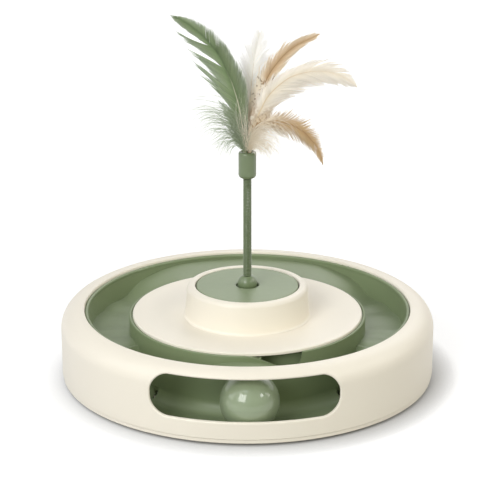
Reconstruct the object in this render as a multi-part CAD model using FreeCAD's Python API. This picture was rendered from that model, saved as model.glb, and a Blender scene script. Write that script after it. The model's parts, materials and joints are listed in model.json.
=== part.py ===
"""Cat track ball toy: a round raceway with a windowed gallery, a captive ball and a feather wand.

Millimetres. Z is up and the toy stands on z = 0 with its axis on the origin.
The window is at the front, towards -Y. An azimuth of 0 is the front and grows towards +X.
"""
import FreeCAD, Part
import os
from math import acos, atan2, cos, degrees, hypot, pi, radians, sin, sqrt

Vec = FreeCAD.Vector
UP = Vec(0, 0, 1)
ORIGIN = Vec(0, 0, 0)

# Clearances
SEAT_GAP = 0.3          # between pieces that only lie beside each other
PRESS_GAP = 0.05        # radial, in a bore that holds a pin, a sleeve or a screw
RUNNING_GAP = 0.05      # radial, where a shaft or a ball joint turns
BALL_GAP = 0.2          # under the rolling ball

# How far a cutting shape runs past what it cuts, and how deep joined shapes lie in each other
OVERRUN = 1.0
JOIN_DEPTH = 0.4
JOIN_ANGLE = 2.0
TOLERANCE = 0.01

# Outer housing, a cream shell with a flat top and a round shoulder
HOUSING_RADIUS = 125.0
HOUSING_TOP_Z = 47.2
HOUSING_WALL = 2.4
SHOULDER_RADIUS = 12.3
RING_WIDTH = 15.8       # from the outer face to the opening over the track
RING_EDGE_ROUND = 0.9
FOOT_BAND_HEIGHT = 2.5      # of the narrow band round the lower edge
FOOT_BAND_STEP = 0.5
FOOT_BAND_CHAMFER = 0.4
SKIRT_THICKNESS = 3.6
SKIRT_TOP_Z = 12.0

# Window at the front of the housing
WINDOW_LEFT_X = -60.8
WINDOW_RIGHT_X = 57.7
WINDOW_BOTTOM_Z = 15.6
WINDOW_TOP_Z = 42.5
WINDOW_CORNER = 12.0
WINDOW_EDGE_ROUND = 0.9
WINDOW_CUT_DEPTH = 37.8     # from the outer face, past the ring's opening

# Bottom cover and the pads that it stands on
PAD_RADIUS = 6.0
PAD_THICKNESS = 1.0
PAD_RECESS = 0.5
PAD_INSET = 25.0        # from the housing's outer face to the pad's centre
PAD_AZIMUTHS = (30, 90, 150, 210, 270, 330)
COVER_THICKNESS = 2.0
COVER_INSET = 4.4       # from the housing's outer face to the cover's edge
COVER_PROUD = 1.0       # of the housing's lower edge
COVER_LIP_HEIGHT = 0.6
COVER_LIP_WIDTH = 2.0
COVER_EDGE_ROUND = 0.8
SLOT_END_ANGLE = 5.0    # past the gallery's ends, for the trough that passes through
SLOT_GAP = 0.15
SLOT_MARGIN = 1.3       # inside the gallery's walls, where the trough's corners are round

# Screws from below
SCREW_SHANK_RADIUS = 1.2
SCREW_HEAD_RADIUS = 3.0
SCREW_LENGTH = 12.0
SCREW_HOLE_GAP = 0.4
BOSS_RADIUS = 3.5
BOSS_INSET = 11.0       # from the housing's outer face
HOUSING_SCREW_AZIMUTHS = (78, 122, 166, 194, 238, 282)
POST_RADIUS = 4.0
POST_INSET = 19.4       # from the track's inner wall
POST_AZIMUTHS = (45, 135, 225, 315)

# Ball and the bead that rattles in it
BALL_RADIUS = 19.0
BALL_WALL = 1.8
BALL_SIDE_GAP = 0.4     # between the ball and the housing's wall
BALL_AZIMUTH = 0.8
BALL_TONGUE = 1.5
BEAD_RADIUS = 4.0

# Track channel, one green moulding
TRACK_WALL = 1.6
TRACK_WIDTH = 45.6      # from the housing's outer face to the track's inner wall
INNER_LIP_Z = 41.6
LIP_CHAMFER = 0.5
DISC_SEAT_WIDTH = 4.3
DISC_SEAT_THICKNESS = 1.8
GALLERY_FILLET = 7.5
GALLERY_LIP_Z = 10.0
GALLERY_LIP_INSET = 5.4     # from the housing's outer face
GALLERY_HALF_ANGLE = 50.0
GALLERY_END_ANGLE = 64.0
RAMP_EXTRA_ANGLE = 3.0
TROUGH_EXTRA_ANGLE = 4.0    # the trough runs on under the ramps' feet
END_WALL_ANGLE = 1.0
SIDE_FLOOR_Z = 30.5
SIDE_END_ANGLE = 125.0
BACK_FLOOR_Z = 42.7         # at the outer wall
BACK_FLOOR_INNER_Z = 41.1   # beside the lip
BACK_START_ANGLE = 155.0
FLAT_FLOOR_STEP = 7.0       # between the sections through the flat stretches
# The rise to the back, as shares of its angle and of its height
FLOOR_RISE = ((0, 0), (0.08, 0.12), (0.16, 0.29), (0.27, 0.50), (0.43, 0.69), (0.62, 0.84), (0.8, 0.95),
              (1, 1))
GROOVE_FOOT_INSET = 4.2     # from the ring's opening
GROOVE_TOP_INSET = 2.6

# Ledge over the ball's inner side and the cut beside it
LEDGE_GAP = 1.7         # between the ledge's lower edge and the ball
LEDGE_TOP_Z = 37.7
LEDGE_BOTTOM_Z = 33.6
LEDGE_DOME_RADIUS = 66.0
LEDGE_X = -1.5
LEDGE_HALF_ANGLE = 30.0
CUT_LEFT_X = -9.5
CUT_LEFT_BEND = (8.8, 38.7)
CUT_LEFT_FOOT = (17.5, 34.6)
CUT_BOTTOM_LEFT = (22.0, 26.0)
CUT_BOTTOM_RIGHT = (31.0, 26.0)
CUT_RIGHT_BEND = (34.1, 36.6)
CUT_RIGHT_X = 35.4
CUT_DEPTH = 17.7        # from the track's inner wall
POCKET_BACK_Y = -64.0   # face of the pocket's back wall

# Thin green ring just inside the housing's opening
LIP_RING_WIDTH = 2.4
LIP_RING_DROP = 1.3     # from the housing's top
LIP_RING_HEIGHT = 2.5
LIP_FLANGE_WIDTH = 1.1
LIP_RING_GAP = 0.2

# Centre disc with its raised hub
DISC_SIDE_GAP = 0.8
DISC_TOP_Z = 42.7
DISC_DISH = 2.0         # by how much the disc falls from its edge to the hub
DISC_EDGE_WIDTH = 4.6   # flat stretch inside the edge
DISC_THICKNESS = 2.0
DISC_EDGE_ROUND = 0.8
HUB_FOOT_RADIUS = 41.7
HUB_SHOULDER_RADIUS = 40.5
HUB_TOP_Z = 61.7
HUB_TOP_ROUND = 3.0
HUB_FOOT_ROUND = 1.2
HUB_FOOT_STEP = 0.3
HUB_WALL = 2.4
HUB_RIM_THICKNESS = 3.3
HUB_FLOOR_Z = 46.0
HUB_FLOOR_THICKNESS = 2.0
HUB_BORE_EDGE = 0.6

# Hub insert, which turns in the hub
INSERT_RADIUS = 34.2
INSERT_SIDE_GAP = 0.7
INSERT_TOP_Z = 61.3
INSERT_THICKNESS = 2.5
INSERT_EDGE_ROUND = 0.8
SPINDLE_RADIUS = 12.95
SPINDLE_WALL = 1.95
SPINDLE_BOTTOM_Z = 41.5
SLEEVE_WALL = 1.95
SLEEVE_FLANGE_WIDTH = 2.5
SLEEVE_FLANGE_THICKNESS = 1.2
BOSS_WALL = 2.5
RETAINING_RING_WIDTH = 4.0
RETAINING_RING_THICKNESS = 1.4

# Swivel knob in its cup
KNOB_RADIUS = 6.5
KNOB_Z = 62.3
KNOB_SEAT_Z = 67.9
KNOB_HOLE_RADIUS = 7.5
KNOB_LEDGE_Z = 59.6
CUP_WALL = 1.95
CUP_HOLE_RADIUS = 4.6
KNOB_NECK_RADIUS = 2.0
DISH_WALL = 1.5
DISH_HALF_ANGLE = 46.0
DISH_FLAT_CUT = 0.3
KNOB_SCREW_HEAD_RADIUS = 2.3
KNOB_SCREW_HEAD_HEIGHT = 1.6
KNOB_SCREW_RADIUS = 1.2
KNOB_SCREW_LENGTH = 8.5

# Stem spring and the pins in its two ends
SPRING_WIRE = 0.9
SPRING_OUTER_RADIUS = 2.75
SPRING_TURNS = 49
SPRING_BEND_RADIUS = 1.0
SPRING_TEST_STEP = 0.4
PIN_GAP_IN_SPRING = 0.15
PIN_DEPTH = 4.0
PIN_REACH = 7.5

# Ferrule and feathers
FERRULE_RADIUS = 5.95
FERRULE_BOTTOM_Z = 136.0
FERRULE_TOP_Z = 154.0
FERRULE_FOOT_ROUND = 2.6
FERRULE_TOP_ROUND = 1.6
FERRULE_WALL = 1.8
SOCKET_DEPTH = 10.0
PLUG_HEIGHT = 7.5
QUILL_CIRCLE_RADIUS = 2.45
QUILL_HALF_WIDTH = 0.8
QUILL_GAP = 0.15
QUILL_FREE_HEIGHT = 1.0
VANE_THICKNESS = 1.1
VANE_EDGE = 0.25

# Directions in the radius-height plane, in degrees
UP_OUT, UP_IN, DOWN_IN, DOWN_OUT = 45, 135, 225, -45
QUARTER = 90

# Worked out from the sizes above
RING_OPENING_RADIUS = HOUSING_RADIUS - RING_WIDTH
INNER_WALL_RADIUS = HOUSING_RADIUS - TRACK_WIDTH
PAD_RING_RADIUS = HOUSING_RADIUS - PAD_INSET
BOSS_RING_RADIUS = HOUSING_RADIUS - BOSS_INSET
POST_RING_RADIUS = INNER_WALL_RADIUS - POST_INSET
GALLERY_LIP_RADIUS = HOUSING_RADIUS - GALLERY_LIP_INSET
GROOVE_FOOT_RADIUS = RING_OPENING_RADIUS - GROOVE_FOOT_INSET
GROOVE_TOP_RADIUS = RING_OPENING_RADIUS - GROOVE_TOP_INSET
DISC_RADIUS = INNER_WALL_RADIUS - TRACK_WALL - DISC_SIDE_GAP
PAD_PROUD = PAD_THICKNESS - PAD_RECESS
COVER_RADIUS = HOUSING_RADIUS - COVER_INSET
COVER_TOP_Z = PAD_PROUD + COVER_THICKNESS
HOUSING_BOTTOM_Z = PAD_PROUD + COVER_PROUD
HOUSING_INNER_RADIUS = HOUSING_RADIUS - HOUSING_WALL
PLATE_UNDER_Z = HOUSING_TOP_Z - HOUSING_WALL
GALLERY_FLOOR_Z = PAD_PROUD + TRACK_WALL
SLOT_INNER_RADIUS = INNER_WALL_RADIUS + SLOT_MARGIN
SLOT_OUTER_RADIUS = GALLERY_LIP_RADIUS - SLOT_MARGIN
BALL_Z = GALLERY_FLOOR_Z + BALL_GAP + BALL_RADIUS
BALL_PATH_RADIUS = HOUSING_INNER_RADIUS - BALL_SIDE_GAP - BALL_RADIUS
BALL_HALF_WIDTH_AT_LEDGE = sqrt(BALL_RADIUS ** 2 - (LEDGE_BOTTOM_Z - BALL_Z) ** 2)
LEDGE_RADIUS = BALL_PATH_RADIUS - BALL_HALF_WIDTH_AT_LEDGE - LEDGE_GAP
DISC_UNDER_Z = DISC_TOP_Z - DISC_THICKNESS
LIP_TOP_Z = HOUSING_TOP_Z - LIP_RING_DROP
LIP_BOTTOM_Z = LIP_TOP_Z - LIP_RING_HEIGHT
LIP_OUTER_RADIUS = RING_OPENING_RADIUS - LIP_RING_GAP
INSERT_UNDER_Z = INSERT_TOP_Z - INSERT_THICKNESS
SLEEVE_BORE = SPINDLE_RADIUS + RUNNING_GAP
SLEEVE_RADIUS = SLEEVE_BORE + SLEEVE_WALL
SLEEVE_TOP_Z = INSERT_UNDER_Z - SEAT_GAP
HUB_BORE = SLEEVE_RADIUS + PRESS_GAP
HUB_UNDER_Z = HUB_FLOOR_Z - HUB_FLOOR_THICKNESS
CUP_INNER = KNOB_RADIUS + RUNNING_GAP
CUP_OUTER = CUP_INNER + CUP_WALL
DISH_INNER = CUP_OUTER + 2 * RUNNING_GAP
DISH_OUTER = DISH_INNER + DISH_WALL
DISH_FLAT_Z = KNOB_Z - DISH_OUTER + DISH_FLAT_CUT
SPRING_MEAN_RADIUS = SPRING_OUTER_RADIUS - SPRING_WIRE / 2
PIN_RADIUS = SPRING_OUTER_RADIUS - SPRING_WIRE - PIN_GAP_IN_SPRING
SOCKET_RADIUS = FERRULE_RADIUS - FERRULE_WALL
SOCKET_FLOOR_Z = FERRULE_TOP_Z - SOCKET_DEPTH

# Feathers: for each, the angle of its quill on the quill circle, then its shaft from the foot of the vane
# to the tip as (x, y, rise over the ferrule's top, half-width on the left, half-width on the right)
FEATHERS = {
    "green_feather": (180, (
        (-3.2, -1.8, 6, 3, 2), (-4.4, -2.4, 19, 10, 4.5), (-7.2, -3.0, 34, 12, 6),
        (-12.2, -3.8, 50, 12, 8), (-19.8, -4.8, 66, 11.5, 9.5), (-29.7, -6.0, 79.4, 9.5, 7.5),
        (-39.0, -7.2, 87, 5.5, 4), (-48.6, -8.4, 91, 0.8, 0.8))),
    "green_down_tuft": (231, (
        (-5.0, -5.0, 5, 2, 1.5), (-12.5, -6.6, 9.5, 6, 5), (-23, -8.5, 15.5, 8, 6),
        (-34, -10.5, 21, 7, 5), (-44, -12.0, 25, 2, 2))),
    "cream_down_tuft": (283, (
        (1.8, -6.2, 4.6, 1.5, 1.5), (8, -8.6, 8, 5, 4), (17, -10.8, 10, 7.5, 6.5),
        (26, -12.6, 8, 6.5, 6), (33, -13.8, 3, 1.5, 1.5))),
    "tan_feather_lower": (334, (
        (5.0, -3.6, 6, 1.6, 1.4), (8.2, -4.4, 13, 5, 4), (14.8, -5.2, 19.5, 7.5, 7),
        (24.5, -6.0, 20.6, 8.5, 9), (35.4, -6.8, 15.4, 7.5, 8), (43.4, -7.6, 6.5, 5.5, 6),
        (48.6, -8.4, -3.2, 3, 3.5), (49.6, -8.8, -8, 0.7, 0.7))),
    "cream_feather": (26, (
        (4.2, 0.8, 6, 1.6, 1.6), (6.4, 0.6, 20, 5.5, 6), (11.6, 0.2, 32.5, 9, 9),
        (20.5, -0.4, 43, 10, 9.5), (32, -1.2, 50.8, 10, 9.5), (44.3, -2.2, 53.8, 9.5, 9),
        (55.6, -3.2, 52.3, 7.5, 7), (64.8, -4.2, 48.4, 4.5, 4.5), (70.8, -5.0, 44, 0.8, 0.8))),
    "tan_feather_upper": (77, (
        (2.4, 3.4, 7, 1.6, 1.6), (4.4, 4.2, 22, 4, 4), (8.2, 5.0, 35, 5.5, 5),
        (13.0, 6.0, 48.5, 6.5, 6), (20.5, 7.2, 60.5, 6.5, 6), (29.4, 8.4, 70.2, 5, 5),
        (38, 9.6, 75.9, 3, 3), (46.2, 10.8, 78, 0.7, 0.7))),
    "white_feather": (129, (
        (-1.2, 5.2, 7, 1.6, 1.6), (-0.4, 7.0, 22, 6, 6), (1.2, 9.0, 38, 8, 8),
        (3.6, 11.2, 54, 9, 9), (6.2, 13.4, 67, 7.5, 7.5), (9.0, 15.6, 81.5, 0.8, 0.8))),
}


def at(azimuth, radius, z=0.0):
    """Point at an azimuth from the front, a radius and a height."""
    return Vec(radius * sin(radians(azimuth)), -radius * cos(radians(azimuth)), z)


def profile(start, *steps):
    """Closed face in the radius-height plane. A step is a point, or an arc's middle and end."""
    edges = []
    here = start
    closing = () if steps[-1][-1] == start else (start,)
    for step in steps + closing:
        if isinstance(step[0], tuple):
            middle, end = step
            curve = Part.Arc(flat(here), flat(middle), flat(end))
        else:
            end = step
            curve = Part.LineSegment(flat(here), flat(end))
        edges.append(curve.toShape())
        here = end
    return Part.Face(Part.Wire(edges))


def flat(point):
    """A radius and a height as a point of the X-Z plane."""
    return Vec(point[0], 0, point[1])


def on_circle(centre, radius, angle):
    """Point of a circle in the radius-height plane."""
    return (centre[0] + radius * cos(radians(angle)), centre[1] + radius * sin(radians(angle)))


def turned(face, first=-180.0, last=180.0):
    """Solid of revolution of a profile between two azimuths."""
    solid = face.revolve(ORIGIN, UP, last - first)
    solid.rotate(ORIGIN, UP, first - QUARTER)
    return solid


def ring(inner, outer, bottom, top, first=-180.0, last=180.0):
    """Ring, or a sector of one, with a rectangular section."""
    return turned(profile((inner, bottom), (outer, bottom), (outer, top), (inner, top)), first, last)


def pillar(place, radius, bottom, top):
    """Upright cylinder at a place in plan."""
    return Part.makeCylinder(radius, top - bottom, Vec(place.x, place.y, bottom))


def joined(first, *others):
    """One solid from several that overlap, with the lines between coplanar faces removed."""
    return first.fuse(list(others)).removeSplitter()


def upright_prism(points, near_y, far_y):
    """Prism along Y over a wire in the X-Z plane, given as points and arcs like a profile."""
    face = profile(*points)
    face.translate(Vec(0, near_y, 0))
    return face.extrude(Vec(0, far_y - near_y, 0))


def save(name, shape):
    """Write one node, after checking that each of its solids is closed and valid."""
    for solid in shape.Solids:
        if not solid.isValid() or not solid.isClosed() or solid.Volume <= 0:
            print("BAD SOLID in", name)
    if not shape.Solids:
        print("NO SOLID in", name)
    print(f"{name:24s} solids {len(shape.Solids):2d}  volume {shape.Volume:10.1f}")
    shape.exportStep(f"parts/{name}.step")


def outer_housing():
    """Shell with its window, its rounded edges and the bosses for the screws."""
    shoulder = (HOUSING_RADIUS - SHOULDER_RADIUS, HOUSING_TOP_Z - SHOULDER_RADIUS)
    inner_shoulder = SHOULDER_RADIUS - HOUSING_WALL
    band_radius = HOUSING_RADIUS - FOOT_BAND_STEP
    band_top = HOUSING_BOTTOM_Z + FOOT_BAND_HEIGHT
    edge = (RING_OPENING_RADIUS + RING_EDGE_ROUND, HOUSING_TOP_Z - RING_EDGE_ROUND)
    skirt_radius = HOUSING_RADIUS - SKIRT_THICKNESS
    step_z = SKIRT_TOP_Z + SKIRT_THICKNESS - HOUSING_WALL
    shell = turned(profile(
        (edge[0], HOUSING_TOP_Z),
        (shoulder[0], HOUSING_TOP_Z),
        (on_circle(shoulder, SHOULDER_RADIUS, UP_OUT), (HOUSING_RADIUS, shoulder[1])),
        (HOUSING_RADIUS, band_top + FOOT_BAND_STEP),
        (band_radius, band_top),
        (band_radius, HOUSING_BOTTOM_Z + FOOT_BAND_CHAMFER),
        (band_radius - FOOT_BAND_CHAMFER, HOUSING_BOTTOM_Z),
        (skirt_radius, HOUSING_BOTTOM_Z),
        (skirt_radius, SKIRT_TOP_Z),
        (HOUSING_INNER_RADIUS, step_z),
        (HOUSING_INNER_RADIUS, shoulder[1]),
        (on_circle(shoulder, inner_shoulder, UP_OUT), (shoulder[0], PLATE_UNDER_Z)),
        (RING_OPENING_RADIUS, PLATE_UNDER_Z),
        (RING_OPENING_RADIUS, edge[1]),
        (on_circle(edge, RING_EDGE_ROUND, UP_IN), (edge[0], HOUSING_TOP_Z))))
    bosses = [pillar(at(a, BOSS_RING_RADIUS), BOSS_RADIUS, COVER_TOP_Z, PLATE_UNDER_Z + SEAT_GAP)
              for a in HOUSING_SCREW_AZIMUTHS]
    shell = joined(shell, *bosses)
    for azimuth in HOUSING_SCREW_AZIMUTHS:
        shell = shell.cut(pilot_hole(at(azimuth, BOSS_RING_RADIUS)))
    shell = shell.cut(window_prism())
    return rounded_window(shell)


def pilot_hole(place):
    """Hole that a cover screw cuts its thread in."""
    return pillar(place, SCREW_SHANK_RADIUS + PRESS_GAP, PAD_PROUD, PAD_PROUD + SCREW_LENGTH + SEAT_GAP)


def window_prism():
    """The window's opening, an oblong with round corners, cut straight through the wall."""
    left, right = WINDOW_LEFT_X + WINDOW_CORNER, WINDOW_RIGHT_X - WINDOW_CORNER
    low, high = WINDOW_BOTTOM_Z + WINDOW_CORNER, WINDOW_TOP_Z - WINDOW_CORNER
    corners = ((right, low, DOWN_OUT), (right, high, UP_OUT), (left, high, UP_IN), (left, low, DOWN_IN))
    steps = [(left, WINDOW_BOTTOM_Z)]
    for x, z, angle in corners:
        centre = (x, z)
        steps.append(on_circle(centre, WINDOW_CORNER, angle - QUARTER / 2))
        steps.append((on_circle(centre, WINDOW_CORNER, angle),
                      on_circle(centre, WINDOW_CORNER, angle + QUARTER / 2)))
    steps[-1] = (steps[-1][0], steps[0])
    return upright_prism(steps, -HOUSING_RADIUS - OVERRUN, WINDOW_CUT_DEPTH - HOUSING_RADIUS)


def rounded_window(shell):
    """Round the window's outer edge."""
    width, height = WINDOW_RIGHT_X - WINDOW_LEFT_X, WINDOW_TOP_Z - WINDOW_BOTTOM_Z
    corner = Vec(WINDOW_LEFT_X, -HOUSING_RADIUS, WINDOW_BOTTOM_Z) - Vec(OVERRUN, OVERRUN, OVERRUN)
    inside = Part.makeBox(width + 2 * OVERRUN, HOUSING_RADIUS, height + 2 * OVERRUN, corner)
    outer = [e for e in shell.Edges if on_outer_face(e) and within(inside.BoundBox, e)]
    return shell.makeFillet(WINDOW_EDGE_ROUND, outer)


def on_outer_face(edge):
    """True where an edge lies on the housing's outer wall or shoulder."""
    shoulder_r, shoulder_z = HOUSING_RADIUS - SHOULDER_RADIUS, HOUSING_TOP_Z - SHOULDER_RADIUS
    for point in edge.discretize(5):
        radius = hypot(point.x, point.y)
        if point.z <= shoulder_z:
            off = HOUSING_RADIUS - radius
        else:
            off = SHOULDER_RADIUS - hypot(radius - shoulder_r, point.z - shoulder_z)
        if abs(off) > TOLERANCE:
            return False
    return True


def within(box, edge):
    """True where an edge lies wholly in a box."""
    return box.isInside(edge.BoundBox)


def bottom_cover():
    """Plate that closes the underside, with a slot for the gallery trough."""
    low = (COVER_RADIUS - COVER_EDGE_ROUND, PAD_PROUD + COVER_EDGE_ROUND)
    lip_top = COVER_TOP_Z + COVER_LIP_HEIGHT
    plate = turned(profile(
        (0, PAD_PROUD),
        (low[0], PAD_PROUD),
        (on_circle(low, COVER_EDGE_ROUND, DOWN_OUT), (COVER_RADIUS, low[1])),
        (COVER_RADIUS, lip_top),
        (COVER_RADIUS - COVER_LIP_WIDTH, lip_top),
        (COVER_RADIUS - COVER_LIP_WIDTH, COVER_TOP_Z),
        (0, COVER_TOP_Z)))
    reach = GALLERY_HALF_ANGLE + SLOT_END_ANGLE
    top = COVER_TOP_Z + OVERRUN
    plate = plate.cut(ring(SLOT_INNER_RADIUS, SLOT_OUTER_RADIUS, 0, top, -reach, reach))
    for azimuth in PAD_AZIMUTHS:
        plate = plate.cut(pad_recess(azimuth))
    for place in screw_places():
        plate = plate.cut(screw(place, SCREW_HOLE_GAP))
    return plate


def screw_places():
    """Where the cover screws stand, in plan."""
    return ([at(a, BOSS_RING_RADIUS) for a in HOUSING_SCREW_AZIMUTHS]
            + [at(a, POST_RING_RADIUS) for a in POST_AZIMUTHS])


def screw(place, gap=0.0):
    """Countersunk screw pointing up. With a gap it is the hole that it passes through."""
    shank, head = SCREW_SHANK_RADIUS + gap, SCREW_HEAD_RADIUS + gap
    cone = Part.makeCone(head, shank, head - shank, Vec(place.x, place.y, PAD_PROUD))
    return cone.fuse(pillar(place, shank, PAD_PROUD, PAD_PROUD + SCREW_LENGTH))


def cover_screws():
    """All the screws that hold the housing and the centre disc to the cover."""
    return Part.makeCompound([screw(place) for place in screw_places()])


def pad_recess(azimuth):
    """Recess that a rubber pad is stuck in."""
    return pillar(at(azimuth, PAD_RING_RADIUS), PAD_RADIUS + SEAT_GAP, 0, PAD_THICKNESS)


def rubber_pads():
    """Round pads under the toy, each with a broken lower edge."""
    pads = []
    for azimuth in PAD_AZIMUTHS:
        pad = pillar(at(azimuth, PAD_RING_RADIUS), PAD_RADIUS, 0, PAD_THICKNESS)
        low = [e for e in pad.Edges if e.BoundBox.ZMax < PAD_THICKNESS / 10]
        pads.append(pad.makeChamfer(PAD_THICKNESS / 4, low))
    return Part.makeCompound(pads)


def gallery_trough():
    """The deep stretch at the front that the ball rolls in, with round lower corners."""
    outer_fillet = GALLERY_FILLET + TRACK_WALL
    corner_z = GALLERY_FLOOR_Z + GALLERY_FILLET
    inner = (INNER_WALL_RADIUS + GALLERY_FILLET, corner_z)
    outer = (GALLERY_LIP_RADIUS - GALLERY_FILLET, corner_z)
    reach = GALLERY_HALF_ANGLE + TROUGH_EXTRA_ANGLE
    return turned(profile(
        on_circle(inner, outer_fillet, 180),
        (on_circle(inner, outer_fillet, DOWN_IN), (inner[0], PAD_PROUD)),
        (outer[0], PAD_PROUD),
        (on_circle(outer, outer_fillet, DOWN_OUT), on_circle(outer, outer_fillet, 0)),
        (GALLERY_LIP_RADIUS + TRACK_WALL, GALLERY_LIP_Z),
        (GALLERY_LIP_RADIUS, GALLERY_LIP_Z),
        (GALLERY_LIP_RADIUS, corner_z),
        (on_circle(outer, GALLERY_FILLET, DOWN_OUT), (outer[0], GALLERY_FLOOR_Z)),
        (inner[0], GALLERY_FLOOR_Z),
        (on_circle(inner, GALLERY_FILLET, DOWN_IN), (INNER_WALL_RADIUS, corner_z))), -reach, reach)


def slope_box(side, low_angle, low_z, high_angle, high_z, depth):
    """Wide slab that lies on a ramp's top face, or hangs below it where the depth is negative."""
    middle = (low_angle + high_angle) / 2
    mean_radius = (INNER_WALL_RADIUS + GROOVE_FOOT_RADIUS) / 2
    run = mean_radius * radians(high_angle - low_angle)
    pitch = degrees(atan2(high_z - low_z, run))
    length, width = 6 * run, 4 * mean_radius
    slab = Part.makeBox(length, width, abs(depth), Vec(-length / 2, -width / 2, min(depth, 0)))
    slab.rotate(ORIGIN, Vec(0, 1, 0), -pitch * side)
    slab.translate(Vec(0, -mean_radius, (low_z + high_z) / 2))
    slab.rotate(ORIGIN, UP, middle * side)
    return slab


def ramp(side, low_angle, low_z, high_angle, high_z, outer_radius):
    """Flat sloping plate between two floors on one side of the track, and the space above it."""
    first, last = sorted((side * (low_angle - RAMP_EXTRA_ANGLE), side * (high_angle + RAMP_EXTRA_ANGLE)))
    inner = INNER_WALL_RADIUS - TRACK_WALL / 2
    room = ring(inner, outer_radius, low_z - TRACK_WALL, high_z, first, last)
    plate = slope_box(side, low_angle, low_z, high_angle, high_z, -TRACK_WALL).common(room)
    if low_z < COVER_TOP_Z + COVER_LIP_HEIGHT:
        plate = plate.cut(cover_beside_slot(first, last))
    above = slope_box(side, low_angle, low_z, high_angle, high_z, HOUSING_TOP_Z)
    head_room = ring(inner, outer_radius, low_z, high_z + OVERRUN, first, last)
    return plate, above.common(head_room)


def cover_beside_slot(first, last):
    """Room that the cover takes on both sides of its slot, which the trough's ramps keep clear of."""
    top = COVER_TOP_Z + COVER_LIP_HEIGHT + SLOT_GAP
    inner = ring(INNER_WALL_RADIUS - TRACK_WALL, SLOT_INNER_RADIUS + SLOT_GAP, 0, top, first, last)
    return inner.fuse(ring(SLOT_OUTER_RADIUS - SLOT_GAP, HOUSING_RADIUS, 0, top, first, last))


def track_channel():
    """The whole track: inner wall, gallery trough, ramps, side floors and raised back floor."""
    inner = INNER_WALL_RADIUS - TRACK_WALL
    corner_z = GALLERY_FLOOR_Z + GALLERY_FILLET
    wall = inner_wall(inner, corner_z)
    floors = []
    cuts = []
    ramps = []
    for side in (-1, 1):
        floors.append(side_floor(side))
        plate, above = ramp(side, GALLERY_HALF_ANGLE, GALLERY_FLOOR_Z, GALLERY_END_ANGLE, SIDE_FLOOR_Z,
                            GALLERY_LIP_RADIUS + TRACK_WALL)
        ramps.append(plate)
        cuts.append(above)
        floors.append(end_wall(side))
    body = gallery_trough().fuse(floors)
    for above in cuts:
        body = body.cut(above)
    body = body.fuse(ramps + [groove_wall(), wall.cut(wall_cut()), cut_pocket()])
    body = body.fuse(ledge()).removeSplitter()
    for azimuth in PAD_AZIMUTHS:
        body = body.cut(pad_recess(azimuth))
    return body


def floor_heights():
    """The floor's height at its outer wall, from the gallery's end to the very back."""
    start = GALLERY_END_ANGLE - JOIN_ANGLE
    rise, turn = BACK_FLOOR_Z - SIDE_FLOOR_Z, BACK_START_ANGLE - SIDE_END_ANGLE
    flat_steps = round((SIDE_END_ANGLE - start) / FLAT_FLOOR_STEP)
    flat = [(start + (SIDE_END_ANGLE - start) * n / flat_steps, SIDE_FLOOR_Z) for n in range(flat_steps)]
    slope = [(SIDE_END_ANGLE + turn * a, SIDE_FLOOR_Z + rise * h) for a, h in FLOOR_RISE]
    back_steps = round((2 * QUARTER - BACK_START_ANGLE) / FLAT_FLOOR_STEP)
    step = (2 * QUARTER - BACK_START_ANGLE) / back_steps
    back = [(BACK_START_ANGLE + step * (n + 1), BACK_FLOOR_Z) for n in range(back_steps)]
    return flat + slope + back


def side_floor(side):
    """Floor of one half of the track in one smooth piece, with its rise to the back."""
    inner, outer = INNER_WALL_RADIUS - TRACK_WALL / 2, GROOVE_FOOT_RADIUS + TRACK_WALL / 2
    sections = []
    for angle, outer_z in floor_heights():
        inner_z = min(outer_z, BACK_FLOOR_INNER_Z)
        turn = side * angle
        corners = [at(turn, inner, inner_z - TRACK_WALL), at(turn, outer, outer_z - TRACK_WALL),
                   at(turn, outer, outer_z), at(turn, inner, inner_z)]
        sections.append(Part.makePolygon(corners + corners[:1]))
    return Part.makeLoft(sections, True, False)


def inner_wall(inner, corner_z):
    """Wall round the centre disc, with the lip beside it and the flange that the disc lies on."""
    upper = turned(profile(
        (inner, corner_z),
        (INNER_WALL_RADIUS, corner_z),
        (INNER_WALL_RADIUS, INNER_LIP_Z - LIP_CHAMFER),
        (INNER_WALL_RADIUS - LIP_CHAMFER, INNER_LIP_Z),
        (inner + LIP_CHAMFER, INNER_LIP_Z),
        (inner, INNER_LIP_Z - LIP_CHAMFER),
        (inner, DISC_UNDER_Z),
        (inner - DISC_SEAT_WIDTH, DISC_UNDER_Z),
        (inner - DISC_SEAT_WIDTH, DISC_UNDER_Z - DISC_SEAT_THICKNESS),
        (inner, DISC_UNDER_Z - DISC_SEAT_THICKNESS)))
    foot = ring(inner, INNER_WALL_RADIUS, COVER_TOP_Z, corner_z, GALLERY_HALF_ANGLE,
                360 - GALLERY_HALF_ANGLE)
    return upper.fuse(foot)


def wall_cut():
    """Cut in the inner wall at the front, sloping on the left and steep on the right."""
    top = INNER_LIP_Z + OVERRUN
    points = ((CUT_LEFT_X, top), (CUT_LEFT_BEND, CUT_LEFT_FOOT), CUT_BOTTOM_LEFT, CUT_BOTTOM_RIGHT,
              CUT_RIGHT_BEND, (CUT_RIGHT_X, top))
    return upright_prism(points, -INNER_WALL_RADIUS - OVERRUN, CUT_DEPTH - INNER_WALL_RADIUS)


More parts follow.
